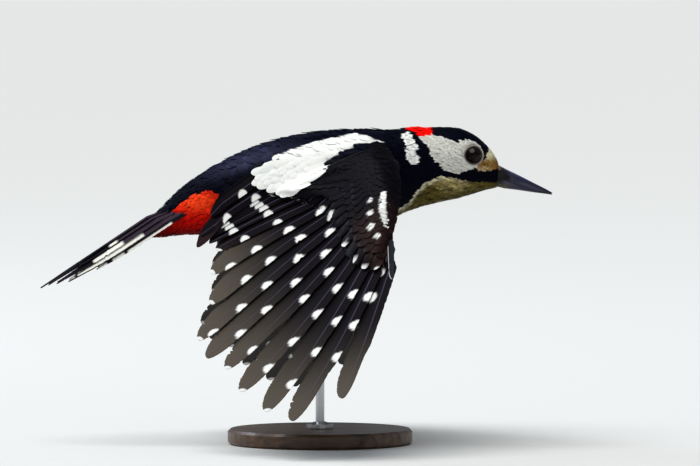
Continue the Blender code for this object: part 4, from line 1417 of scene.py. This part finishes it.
# %% Lay coverts over the skin and the vanes
CLEAR_OF_SKIN, LEAST_LIFT = 0.35, 0.1
OVER_VANES = 1.35          # mm by which coverts stand above the sheet where vanes lie under them
ROOT_SINK, COVERT_CUP = 0.25, 0.10
EDGE_MARGIN, EDGE_PULL = 0.5, 0.96     # a covert that would pass the front edge is drawn back to it


def roof_lift(out, aft, side, over):
    """Height of the layer that coverts lie on: over the skin in front, over the vanes behind."""
    rear = np.interp(out, REAR_OUT, REAR_AFT)
    on_vanes = smooth_step(aft - rear, -14.0, -7.0)
    if side > 0:
        clear = np.maximum(guide_at(TOP_GUIDE, out, aft) + CLEAR_OF_SKIN, -LEAST_LIFT)
        return clear + OVER_VANES * on_vanes + over
    clear = np.minimum(guide_at(UNDER_GUIDE, out, aft) - CLEAR_OF_SKIN, LEAST_LIFT)
    return clear - OVER_VANES * on_vanes - over


def lay_coverts(name, out, aft, turn, lengths, halves, over, rise, tilt, side=1.0, paint=covert_marking,
                slot="flight_feathers", uneven=0.18):
    """Broad feathers with roots at (out, aft), above the wing (side 1) or under it (side -1)."""
    count = len(out)
    t, a = np.array(BROAD.rows)[None, :, None], BROAD.across[None, None, :]
    turn = np.radians(turn)[:, None, None]
    ahead = lengths[:, None, None] * t
    across = halves[:, None, None] * BROAD.widths[None, :, None] * a
    outs = out[:, None, None] + ahead * np.cos(turn) + across * np.sin(turn)
    afts = aft[:, None, None] + ahead * np.sin(turn) - across * np.cos(turn)
    past_edge = np.interp(outs, FRONT_OUT, FRONT_AFT) + EDGE_MARGIN - afts
    afts = afts + np.maximum(past_edge, 0.0) * EDGE_PULL
    lift = roof_lift(outs, afts, side, over)
    cup = COVERT_CUP * np.abs(across) * np.abs(a)
    lift = lift + side * (rise * t ** LIFT_POWER - ROOT_SINK * (1 - t) - cup) + tilt * across
    points = wing_points(outs, afts, lift).reshape(-1, 3)
    tint = paint(outs, afts, np.full(outs.shape, side < 0)).reshape(count, -1, 3)
    tint = (tint * chance.uniform(1 - uneven, 1 + uneven, count)[:, None, None]).reshape(-1, 3)
    quads = BROAD.quads[:, ::-1] if side > 0 else BROAD.quads
    faces = (quads[None] + (np.arange(count) * BROAD.count)[:, None, None]).reshape(-1, 4)
    anchors = wing_points(out, aft, roof_lift(out, aft, side, 0.0))
    uv = skin_uv[skin_loops[nearest(skin_tree, anchors)[2]]].mean(1)
    local = np.stack([np.broadcast_to(part, outs.shape) for part in (a * 0.5, t - 0.5)], -1)
    place = (uv[:, None, None, :] + local * PATCH).reshape(-1, 2)
    barbs = (ahead - BARB_LEAN * np.abs(across)) / MAP_SPAN + np.arange(count)[:, None, None] * NEXT_ON_MAP
    vane = np.stack([barbs, across / MAP_SPAN], -1).reshape(-1, 2)
    make_pair(name, points, [faces], covert_finish, slot, tint, place, vane)
    print(f"{name}: {count} feathers")


covert_finish = plumage_material("covert_vane", 0.40, 26.0, 0.00010, 0.012, 0.15)
print("covert finish ready")

# %% Rows of long coverts
OUTER_END = 50.0           # penalty that keeps the search inside the covered stretch


def cover_end(numbers):
    """Where the covered stretch ends on the lines of running feather numbers."""
    ends = []
    for number in numbers:
        if number <= 0:
            aft = np.linspace(20.0, 60.0, 161)
            out = first_line(aft) + inner_step(aft) * number
        else:
            low = int(min(max(math.floor(number), 0), 8))
            reach = np.linspace(40.0, 90.0, 201)
            share = number - low
            turn = np.radians(turn_at(low, reach) * (1 - share) + turn_at(low + 1, reach) * share)
            out = FAN_OUT + reach * np.cos(turn)
            aft = FAN_AFT + reach * np.sin(turn)
        gap = np.abs(aft - np.interp(out, COVER_OUT, COVER_AFT)) + OUTER_END * (out > COVER_OUT[-1])
        at = int(np.argmin(gap))
        ends.append((out[at], aft[at]))
    return np.array(ends).T


def covert_row(name, numbers, back_by, length, half, over, rise, side=1.0, tilt=0.10):
    """One row whose ends lie a fixed distance in front of the covered stretch's end."""
    ends_out, ends_aft = cover_end(numbers)
    turn = covert_turn(ends_out, ends_aft)
    long = length * chance.uniform(0.96, 1.04, len(numbers))
    step = long + back_by
    out = ends_out - step * np.cos(np.radians(turn))
    aft = ends_aft - step * np.sin(np.radians(turn))
    lay_coverts(name, out, aft, turn, long, np.full(len(numbers), half), over, rise, tilt, side)


covert_row("long_coverts", np.arange(8.75, -2.6, -0.72), 0.0, 15.0, 3.1, 0.10, 0.45)
covert_row("middle_coverts", np.arange(8.3, -2.6, -0.60), 7.5, 9.5, 2.7, 0.42, 0.45)
covert_row("upper_coverts", np.arange(7.6, -2.6, -0.55), 12.5, 7.5, 2.3, 0.62, 0.40)
covert_row("long_under_coverts", np.arange(8.0, -0.8, -0.75), -1.0, 14.0, 3.2, 0.10, 0.40, -1.0, -0.10)
covert_row("middle_under_coverts", np.arange(7.4, -0.8, -0.65), 7.5, 9.0, 2.7, 0.40, 0.40, -1.0, -0.10)

# %% Small coverts up to the front edge
MAP_DARTS = 6000
SMALL_LEAN = 5.0           # degrees by which neighbours differ in direction


def thrown(low, high, spacing, wanted):
    """Darts on the flat map of the wing, none nearer to another than the spacing."""
    kept = []
    for out, aft in chance.uniform(low, high, (MAP_DARTS, 2)).tolist():
        if wanted(out, aft) and all((out - a) ** 2 + (aft - b) ** 2 > spacing ** 2 for a, b in kept):
            kept.append((out, aft))
    return np.array(kept).T


def in_front(out, aft):
    """Whether a spot lies between the front edge and the rows of long coverts."""
    front = np.interp(out, FRONT_OUT, FRONT_AFT)
    rear = np.interp(out, COVER_OUT, COVER_AFT)
    return out > -1.0 and front + 0.6 < aft < rear - 13.0


for name, side, spacing in (("small_coverts", 1.0, 1.75), ("small_under_coverts", -1.0, 2.0)):
    out, aft = thrown((-2.0, -10.0), (68.0, 50.0), spacing, in_front)
    turn = covert_turn(out, aft) + chance.normal(0.0, SMALL_LEAN, len(out))
    near = smooth_step(from_front_edge(out, aft), 0.0, EDGE_DEEP)
    lay_coverts(name, out, aft, turn, 3.6 + 2.2 * near, 1.25 + 0.65 * near, 0.15, 0.55, 0.0, side)

# %% [markdown]
# ## The fall of the shoulder patch
# The long white feathers of the shoulder don't end at the body. They fall over the bases of the
# innermost wing feathers and close the step between back and wing. The shoulder's own coat could be
# made longer, but it lies along the body and would stick out over the wing. So a few rows of white
# feathers are laid in the wing's directions, up to a ragged border.

# %% Shoulder fall
FALL_ROWS = np.arange(57.0, 29.0, -3.0)
FALL_FROM, FALL_TO, FALL_STEP = -15.0, 4.5, 2.4
FALL_LONG, FALL_HALF, FALL_TURN = 9.5, 1.9, 93.0
FALL_EDGE = ((-14.5, 52.5), (-12.5, 56.5), (-10.5, 58.0), (-8.0, 56.5), (-4.0, 54.0), (0.6, 51.0),
             (3.2, 44.5), (1.8, 38.5), (1.3, 32.0), (3.0, 29.5), (-9.0, 29.5), (-12.0, 40.0), (-15.0, 46.0))


def white_fall(outs, afts, under):
    return spread(WHITE_COAT, outs)


def lay_fall():
    outs, afts = [], []
    for i, end in enumerate(FALL_ROWS):
        line = np.arange(FALL_FROM, FALL_TO, FALL_STEP) + FALL_STEP / 2 * (i % 2)
        outs += (line + chance.normal(0.0, 0.35, len(line))).tolist()
        afts += (end + chance.normal(0.0, 0.7, len(line))).tolist()
    outs, afts = np.array(outs), np.array(afts)
    kept = inside(FALL_EDGE, outs, afts)
    outs, afts = outs[kept], afts[kept] - FALL_LONG
    count = len(outs)
    turn = FALL_TURN + chance.normal(0.0, 4.0, count)
    lay_coverts("shoulder_fall", outs, afts, turn, np.full(count, FALL_LONG), np.full(count, FALL_HALF),
                1.0, 0.32, 0.0, 1.0, white_fall, "body_feathers", 0.02)


lay_fall()

# %% [markdown]
# ## Coat of the wing's front edge
# In front of the coverts the wing is clothed in tiny, loose feathers that wrap round its leading
# edge. Coverts are too stiff to go round it, and bare skin would show as a pale rim. So the downy
# feather of the body is used again. It is scattered over the arm and hand and coloured like the
# coverts, and the skin of the wing gets the same colours underneath.

# %% Fine coat along the front edge and over the elbow
EDGE_COAT_SPACING, EDGE_COAT_LONG, EDGE_COAT_HALF, EDGE_COAT_RISE = 1.15, 3.2, 0.85, 0.55
COLOR_AHEAD = 1.4
FACES_DOWN, TOP_WRAPS = -0.35, 5.5
on_wing = right_half & (middle_wing >= 0.55)


def lay_edge_coat():
    roots, uv = scatter(on_wing, EDGE_COAT_SPACING)
    out, aft = wing_place(roots)
    turn = np.radians(covert_turn(out, aft))[:, None]
    dip = dip_at(out)
    outward = np.stack([-np.sin(dip) * CHORD[1], -np.cos(dip), np.sin(dip) * CHORD[0]], -1)
    backward = np.array([[CHORD[0], 0.0, CHORD[1]]])
    aim = flat_aim(roots, outward * np.cos(turn) + backward * np.sin(turn))
    facing = (nearest(skin_tree, roots)[1] * wing_normal(out)).sum(1)
    under = (facing < FACES_DOWN) & (from_front_edge(out, aft) > TOP_WRAPS)
    colors = covert_marking(out + COLOR_AHEAD * np.cos(turn[:, 0]), aft + COLOR_AHEAD * np.sin(turn[:, 0]),
                            under)
    count = len(roots)
    lay_feathers("wing_edge_coat", DOWNY, skin_tree, roots, uv, aim,
                 EDGE_COAT_LONG * jitter(count, 0.8, 1.2), EDGE_COAT_HALF * jitter(count, 0.85, 1.15),
                 EDGE_COAT_RISE * jitter(count, 0.8, 1.1), colors, coat_finish)


lay_edge_coat()

# %% Paint the skin of the wing as well
right_skin = skin_points.copy()
right_skin[:, 1] = -np.abs(right_skin[:, 1])
right_normals = skin_normals * np.where(skin_points[:, 1:2] > 0, [[1.0, -1.0, 1.0]], [[1.0, 1.0, 1.0]])
skin_out, skin_aft = wing_place(right_skin)
facing_down = (right_normals * wing_normal(skin_out)).sum(1) < 0
facing_down &= from_front_edge(skin_out, skin_aft) > 6.0
wing_tint = covert_marking(skin_out, skin_aft, facing_down)
share = wingness(skin_points)[:, None]
skin_tint[:, :3] = skin_tint[:, :3] * (1 - share) + wing_tint * share
skin_mesh.color_attributes["Plumage"].data.foreach_set("color", skin_tint.ravel())
print("wing skin painted")

# %% [markdown]
# ## Eyes
# The eye is the first thing anyone looks at. A woodpecker's is a dark red-brown iris round a large
# black pupil, under a wet, bulging cornea. A black bead would look like a toy's, so the ball is
# turned from a profile with the cornea's bulge in it, and pupil, iris and rim are painted on its
# points. The wet gloss comes from the finish.

# %% A finish for bare parts
def tinted(name, roughness, coat=0.0, grain_scale=900.0, grain_depth=0.0, specular=0.5):
    """Colour from the mesh, mottled a little, with a fine grain where it is asked for."""
    material = plain_material(name, (1, 1, 1), roughness)
    grain = added(material, "TexNoise", Scale=grain_scale, Detail=4.0)
    wire(material, added(material, "TexCoord"), "Object", grain, "Vector")
    mottled(material, grain, 0.80, 1.20)
    if grain_depth:
        bumped(material, grain, 0.5, grain_depth)
    dial(shader_of(material), Coat_Weight=coat, Coat_Roughness=0.05, Specular_IOR_Level=specular)
    return material


def one_tone(color, points):
    return np.repeat(np.array([color]), len(points), 0)


eye_finish = tinted("wet_eye", 0.10, 0.14, specular=0.12)
print("eye finish ready")

# %% Eyeball, iris and cornea
EYE_RADIUS, EYE_SUNK = 4.1, 0.15
EYE_ROWS, EYE_AROUND = 44, 48
EYE_POLE = 0.02            # the ball stays open by this angle at its poles
CORNEA_BULGE, CORNEA_WIDE = 0.30, 0.55
IRIS_SPOKES = 17.0
IRIS = (0.012, 0.003, 0.003)
PUPIL = np.array([0.0012, 0.0010, 0.0014])
EYE_RIM = np.array([0.004, 0.002, 0.002])
eye_low, eye_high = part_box("eye_right")
EYE_AT = np.array((eye_low + eye_high) / 2) / MM


def revolved(profile, around, centre, axis, up):
    """Turns (distance along the axis, radius) pairs round an axis, open at both poles."""
    axis, up = unit(np.array(axis, float)), np.array(up, float)
    first = unit(up - axis * (up * axis).sum())
    second = np.cross(axis, first)
    turn = np.linspace(0, 2 * math.pi, around, endpoint=False)
    circle = np.cos(turn)[:, None] * first + np.sin(turn)[:, None] * second
    points = np.concatenate([centre + axis * along + circle * radius for along, radius in profile])
    return points, grid_quads(np.arange(len(points)).reshape(-1, around), closed=True)


def eye_ball(label, side):
    centre = EYE_AT * np.array([1.0, 1.0 if side < 0 else -1.0, 1.0])
    polar = np.linspace(EYE_POLE, math.pi - EYE_POLE, EYE_ROWS)
    bulge = CORNEA_BULGE * np.exp(-((polar / CORNEA_WIDE) ** 4))
    ball = EYE_RADIUS - EYE_SUNK
    profile = [((ball + b) * math.cos(p), ball * math.sin(p)) for p, b in zip(polar, bulge)]
    points, faces = revolved(profile, EYE_AROUND, centre, (0.10, side, 0.02), (0, 0, 1))
    angle = np.repeat(polar, EYE_AROUND)
    spokes = np.tile(np.linspace(0, 2 * math.pi, EYE_AROUND, endpoint=False), EYE_ROWS)
    color = one_tone(IRIS, points) * (1.0 + 0.35 * np.sin(spokes * IRIS_SPOKES))[:, None]
    color = mix(color, PUPIL, 1 - smooth_step(angle, 0.40, 0.46))
    color = mix(color, EYE_RIM, smooth_step(angle, 0.78, 0.9))
    item = make_piece(f"eye_ball_{label}", points, [faces], eye_finish, color)
    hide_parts(f"eye_{label}")


for label, side in zip(SIDES, (-1.0, 1.0)):
    eye_ball(label, side)
print("eyes at", EYE_AT.round(1))

# %% [markdown]
# ## Folds round the eye
# A ring of fine bare folds sets the eye into the face: a dark rim next to the ball and paler ones
# outside. A plain ring would look like a washer. So three thin tubes follow the skin round the eye,
# each beaded along its length, and they are eased a little so that none has a kink.

# %% Bare folds round the eye
LID_POINTS, LID_ROUNDS, LID_BEAD = 97, 6, 0.30
LID_TONE = (0.16, 0.13, 0.115)
LID_DARK = np.array([0.012, 0.010, 0.013])
LID_PALE = np.array([0.44, 0.39, 0.33])


def tube_along(path, radii, around=8):
    """A round tube through points, tapering with its radii. Gives points and faces, ends closed."""
    path = np.asarray(path, float)
    ahead = unit(np.gradient(path, axis=0))
    side = unit(np.cross(ahead, np.array([0.13, 0.21, 0.97])))
    up = np.cross(side, ahead)
    turn = np.linspace(0, 2 * math.pi, around, endpoint=False)
    ring = np.cos(turn)[None, :, None] * side[:, None, :] + np.sin(turn)[None, :, None] * up[:, None, :]
    points = (path[:, None, :] + ring * np.asarray(radii)[:, None, None]).reshape(-1, 3)
    grid = np.arange(len(points)).reshape(-1, around)
    return points, [grid_quads(grid, closed=True), np.array([grid[0, ::-1], grid[-1]])]


def merged(parts):
    """Joins several (points, faces by corner count) into one."""
    points, groups, shift = [], {}, 0
    for own, faces in parts:
        for group in faces:
            groups.setdefault(group.shape[1], []).append(group + shift)
        points.append(own)
        shift += len(own)
    return np.concatenate(points), [np.concatenate(g) for g in groups.values()]


def lid_ring(radius, thick, beads, push, drop=0.0):
    """A beaded ring that follows the skin round the right eye."""
    turn = np.linspace(0, 2 * math.pi, LID_POINTS)
    spots = EYE_AT + np.stack([radius * np.cos(turn), np.full_like(turn, -3.0),
                               radius * np.sin(turn) - drop], -1)
    places, normals, _ = nearest(skin_tree, spots)
    path = np.stack([spots[:, 0], places[:, 1], spots[:, 2]], -1) + normals * push
    for _ in range(LID_ROUNDS):
        path[:-1] = (path[:-1] * 2 + np.roll(path[:-1], 1, 0) + np.roll(path[:-1], -1, 0)) / 4
        path[-1] = path[0]
    return tube_along(path, thick * (1.0 + LID_BEAD * np.sin(turn * beads)))


points, faces = merged([lid_ring(3.7, 0.32, 26, 0.16), lid_ring(4.12, 0.22, 34, 0.20),
                        lid_ring(4.5, 0.18, 40, 0.18, 0.1)])
away = np.linalg.norm(points[:, [0, 2]] - EYE_AT[[0, 2]], axis=1)
color = mix(one_tone(LID_TONE, points), LID_DARK, 1 - smooth_step(away, 3.8, 4.1))
color = mix(color, LID_PALE, smooth_step(away, 4.1, 4.5))
lid_finish = tinted("bare_lid", 0.45, 0.15, 1800.0, 0.00005)
make_pair("eye_lids", points, faces, lid_finish, "body_feathers", color)
print("three folds round each eye")

# %% [markdown]
# ## Bill
# A woodpecker's bill is a chisel: straight, with a ridge along the top, a second ridge on each side
# running out from above the nostril, and a blunt vertical edge at the tip. A cone would lose both
# ridges. The solids give its rows of heights and widths, and here each half is lofted finely
# through the same rows with those ridges added.

# %% The two halves of the bill
# x, ridge, seam, keel, half width
BEAK_ROWS = np.array((
    (81.7, 126.6, 121.9, 116.9, 4.5), (85.6, 124.6, 119.9, 116.1, 3.7), (91.0, 122.0, 117.5, 115.4, 2.9),
    (97.0, 118.9, 115.4, 114.5, 2.2), (102.0, 116.4, 114.5, 113.9, 1.5), (105.6, 114.4, 113.95, 113.4, 0.8)))
RIDGE, SEAM, KEEL, HALF_WIDE = 1, 2, 3, 4
BEAK_BACK = 79.5
BEAK_STEPS, BEAK_AROUND, BEAK_ROUNDS = 70, 33, 8
SEAM_GAP = 0.03
SHELF_HIGH, SHELF_AT, SHELF_WIDE = 0.07, 0.85, 0.16
BEAK_TIP_FROM, BEAK_TIP_CUT = 103.0, 0.35
HORN = (0.012, 0.012, 0.036)
HORN_PALE = np.array([0.075, 0.068, 0.085])
HORN_PAINTED_HIGHLIGHT = np.array([0.070, 0.078, 0.170])
HORN_TIP = np.array([0.006, 0.006, 0.012])
HORN_ROOT = np.array([0.010, 0.009, 0.014])

first_step = BEAK_ROWS[1] - BEAK_ROWS[0]
back_row = BEAK_ROWS[0] + (BEAK_BACK - BEAK_ROWS[0, 0]) / first_step[0] * first_step
back_row[0] = BEAK_BACK
beak_rows = np.concatenate([[back_row], BEAK_ROWS])


def beak_at(x, column):
    return np.interp(x, beak_rows[:, 0], beak_rows[:, column])


def beak_color(along, height, upper):
    """Blue-black horn: paler at the root, a painted blue highlight on the ridge, a dark tip and a dark rim
    at the face.
    """
    color = one_tone(HORN, along)
    root = (1 - smooth_step(along, 0.05, 0.45)) * (0.35 if upper else 0.75)
    # share of the painted blue highlight along the ridge of each half
    ridge = 0.7 * smooth_step(height, 0.75, 0.98) * (1 - smooth_step(along, 0.3, 0.8))
    tip = smooth_step(along, 0.6, 1.0) * 0.7
    face = (1 - smooth_step(along, 0.08, 0.24)) * 0.85
    for paint, share in ((HORN_PALE, root), (HORN_PAINTED_HIGHLIGHT, ridge), (HORN_TIP, tip), (HORN_ROOT, face)):
        color = mix(color, paint, share)
    return color


def beak_half(name, upper):
    xs = np.linspace(BEAK_BACK, BEAK_ROWS[-1, 0], BEAK_STEPS)
    turn = np.linspace(0, math.pi, BEAK_AROUND)
    outer, seam, wide = (beak_at(xs, column) for column in (RIDGE if upper else KEEL, SEAM, HALF_WIDE))
    for values in (outer, seam, wide):
        for _ in range(BEAK_ROUNDS):
            values[1:-1] = (values[:-2] + 2 * values[1:-1] + values[2:]) / 4
    sign = 1.0 if upper else -1.0
    edge = seam + sign * SEAM_GAP
    tall = np.abs(outer - edge)
    c, s = np.cos(turn), np.sin(turn)
    shelf = 1.0 + SHELF_HIGH * np.exp(-((np.abs(turn - math.pi / 2) - SHELF_AT) / SHELF_WIDE) ** 2) * upper
    y = wide[:, None] * (c * shelf)[None, :]
    z = edge[:, None] + sign * tall[:, None] * (s ** (0.92 if upper else 0.8))[None, :]
    x = np.repeat(xs[:, None], BEAK_AROUND, 1)
    blunt = smooth_step(xs, BEAK_TIP_FROM, BEAK_ROWS[-1, 0])
    x = x - BEAK_TIP_CUT * blunt[:, None] * (1 - s)[None, :]
    points = np.stack([x, y, z], -1).reshape(-1, 3)
    grid = np.arange(len(points)).reshape(BEAK_STEPS, BEAK_AROUND)
    floor_quads = np.stack([grid[:-1, 0], grid[1:, 0], grid[1:, -1], grid[:-1, -1]], -1)
    faces = [np.concatenate([grid_quads(grid), floor_quads]), np.stack([grid[0], grid[-1, ::-1]])]
    if not upper:
        faces = [group[:, ::-1] for group in faces]
    along = np.repeat((xs - BEAK_BACK) / (xs[-1] - BEAK_BACK), BEAK_AROUND)
    color = beak_color(along, np.tile(s, BEAK_STEPS), upper)
    item = make_piece(f"bill_{name}", points, faces, beak_finish, color)
    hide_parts(f"beak_{name}")


beak_finish = tinted("bill_horn", 0.32, 0.18, 1500.0, 0.00003)
beak_half("upper", True)
beak_half("lower", False)
print("bill from x", BEAK_BACK, "to", BEAK_ROWS[-1, 0])

# %% [markdown]
# ## Bristles at the bill's root
# Stiff bristles cover the nostrils and fringe the gape and chin, against flying chips of wood. Hair
# particles would be lost when the model leaves Blender. So each bristle is a thin tapering tube that
# starts on the face and lies along the bill's side.

# %% Bristles over the nostrils and round the gape
BRISTLE_THICK, BRISTLE_TAPER = 0.10, 0.85
BRISTLE_CLEAR, BRISTLE_OUT, BRISTLE_BOW, BRISTLE_STRAY = 0.12, 0.16, 0.15, 0.2
DROP_UPPER, DROP_LOWER = 0.52, 0.18    # how steeply bristles sink above and below the seam


def bristle(x, rise, long):
    """One hair from a place on the face; rise is 1 at the ridge, 0 at the seam and -1 at the keel."""
    ridge, seam, keel, wide = (float(beak_at(x, column)) for column in (RIDGE, SEAM, KEEL, HALF_WIDE))
    z = seam + (ridge - seam if rise > 0 else seam - keel) * rise
    y = -wide * math.sqrt(max(1.0 - min(abs(rise), 1.0) ** 2, 0.02)) - BRISTLE_CLEAR
    t = np.linspace(0, 1, 5)
    drop = -(DROP_UPPER if rise > 0 else DROP_LOWER) * long * t
    path = np.stack([x + long * t, y + BRISTLE_OUT * long * t - BRISTLE_BOW * np.sin(t * math.pi),
                     z + drop + BRISTLE_STRAY * chance.standard_normal() * t], -1)
    return tube_along(path, BRISTLE_THICK * (1 - BRISTLE_TAPER * t), 4)


def bristles(name, count, low, high, length, tone):
    hairs = []
    for _ in range(count):
        x = chance.uniform(low[0], high[0])
        rise = chance.uniform(low[1], high[1])
        hairs.append(bristle(x, rise, length * chance.uniform(0.7, 1.2)))
    points, faces = merged(hairs)
    make_pair(name, points, faces, bristle_finish, "body_feathers", one_tone(tone, points))
    print(f"{name}: {count} on each side")


bristle_finish = tinted("bristle", 0.6)
bristles("nose_bristles_cream", 50, (78.5, 0.60), (80.8, 0.98), 2.2, (0.42, 0.32, 0.17))
bristles("nose_bristles_dark", 150, (79.0, 0.02), (83.0, 0.85), 4.0, (0.010, 0.008, 0.011))
bristles("gape_bristles", 70, (79.0, -0.60), (81.5, -0.05), 2.6, (0.012, 0.010, 0.012))
bristles("chin_bristles", 110, (79.5, -1.0), (84.0, -0.62), 3.4, (0.16, 0.135, 0.08))

# %% [markdown]
# ## Feet
# In flight the feet are drawn up under the belly. A perched woodpecker spreads two toes forwards and
# two back, but here all four are closed forwards: two long ones in the middle and two short ones at
# the sides. Plain rods would look like wire, so shank and toes are ringed with horny plates, and
# each claw is a curved, tapering tube.

# %% Shanks, toes and claws
ANKLE = (-20.0, -8.5, 88.5)
TOE_ROOT = (0.5, -8.0, 85.4)
# to the side, up, how long
TOES = ((1.9, 0.2, 11.0), (-1.7, 0.4, 12.5), (4.0, 1.0, 6.0), (-3.8, 1.0, 5.0))
SHANK_RADII, TOE_RADII = (1.42, 1.40), (1.02, 0.92)
PLATE_RISE, PLATE_STEPS = 0.07, 60
CLAW_THICK, CLAW_TAPER, CLAW_TIP, CLAW_DROP = 0.80, 0.88, 0.03, 3.4


def plated(start, end, radii, plates, sag=0.0, count=PLATE_STEPS):
    """A limb between two points, ringed with plates."""
    t = np.linspace(0, 1, count)
    path = np.array(start) * (1 - t)[:, None] + np.array(end) * t[:, None]
    path[:, 2] -= sag * np.sin(t * math.pi)
    ripple = 1.0 + PLATE_RISE * np.abs(np.sin(t * plates * math.pi)) ** 0.5
    return tube_along(path, (radii[0] + (radii[1] - radii[0]) * t) * ripple, 14)


def claw(bend, tip):
    """A hooked claw from the end of a toe down to its tip."""
    t = np.linspace(0, 1, 16)
    curve = np.array(bend) * ((1 - t) ** 2)[:, None] + np.array(tip) * (t ** 2)[:, None]
    knee = np.array([tip[0] + 0.9, tip[1], bend[2] + 0.15])
    curve = curve + knee * (2 * t * (1 - t))[:, None]
    return tube_along(curve, CLAW_THICK * (1 - CLAW_TAPER * t) + CLAW_TIP, 12)


legs, claws = [plated(ANKLE, TOE_ROOT, SHANK_RADII, 15, 0.3, 110)], []
root_x, foot_out, root_z = TOE_ROOT[0], -TOE_ROOT[1], TOE_ROOT[2]
for beside, rise, reach in TOES:
    start = (root_x - 0.6, -(foot_out + beside * 0.35), root_z)
    bend = (root_x + reach * 0.45, -(foot_out + beside), root_z + rise)
    tip = (root_x + reach * 0.55, -(foot_out + beside * 1.1), root_z + rise - CLAW_DROP)
    legs.append(plated(start, bend, TOE_RADII, 9))
    claws.append(claw(bend, tip))
leg_points, leg_faces = merged(legs)
leg_tone = (0.10 + 0.03 * np.sin(leg_points[:, 0] * 4.0))[:, None] * np.array([[1.0, 1.05, 1.0]])
leg_finish = tinted("leg_skin", 0.42, 0.2, 1400.0, 0.00006)
claw_points, claw_faces = merged(claws)
claw_tone = one_tone((0.022, 0.020, 0.020), claw_points)
claw_finish = tinted("claw_horn", 0.28, 0.4, 1600.0, 0.00003)
for side in SIDES:
    make_side(side, "leg", leg_points, leg_faces, leg_finish, "foot_skin", leg_tone, stands_for="foot")
    make_side(side, "claws", claw_points, claw_faces, claw_finish, "beak_horn", claw_tone)
print("toes on each foot:", len(TOES))

# %% [markdown]
# ## Stand
# The display stand is honest shop work: a turned hardwood disc and a thin brushed steel rod with a
# small collar. Their solids already have the right shape, so nothing is modelled again. Flat colours
# would look like plastic, so noise stretched along the grain and across the rod makes their finish.

# %% Wood and steel
WOOD_STRETCH, STEEL_STRETCH = (9.0, 90.0, 90.0), (300.0, 300.0, 9000.0)
WOOD_STOPS = ((0.32, (0.030, 0.016, 0.009, 1.0)), (0.70, (0.155, 0.085, 0.046, 1.0)))


def wood_material():
    material = plain_material("turned_hardwood", (0.10, 0.06, 0.035), 0.42)
    grain = stretched_noise(material, added(material, "TexCoord"), "Object", WOOD_STRETCH,
                            Scale=2.2, Detail=7.0, Distortion=1.1)
    ramp = added(material, "ValToRGB")
    for stop, (position, tone) in zip(ramp.color_ramp.elements, WOOD_STOPS):
        stop.position = position
        stop.color = tone
    wire(material, grain, "Fac", ramp, "Fac")
    wire(material, ramp, "Color", shader_of(material), "Base Color")
    bumped(material, grain, 0.25, 0.0002)
    dial(shader_of(material), Coat_Weight=0.25, Coat_Roughness=0.2)
    return material


def steel_material():
    material = plain_material("brushed_steel", (0.56, 0.57, 0.58), 0.3)
    lines = stretched_noise(material, added(material, "TexCoord"), "Object", STEEL_STRETCH, Scale=1.0)
    sheen = added(material, "MapRange", To_Min=0.24, To_Max=0.44)
    wire(material, lines, "Fac", sheen, "Value")
    wire(material, sheen, "Result", shader_of(material), "Roughness")
    dial(shader_of(material), Metallic=1.0)
    return material


def dress(node, material):
    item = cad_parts[node]
    if not item.material_slots:
        item.data.materials.append(material)
    for slot in item.material_slots:
        slot.material = material


dress("stand_base", wood_material())
dress("stand_rod", steel_material())
print("stand finished")
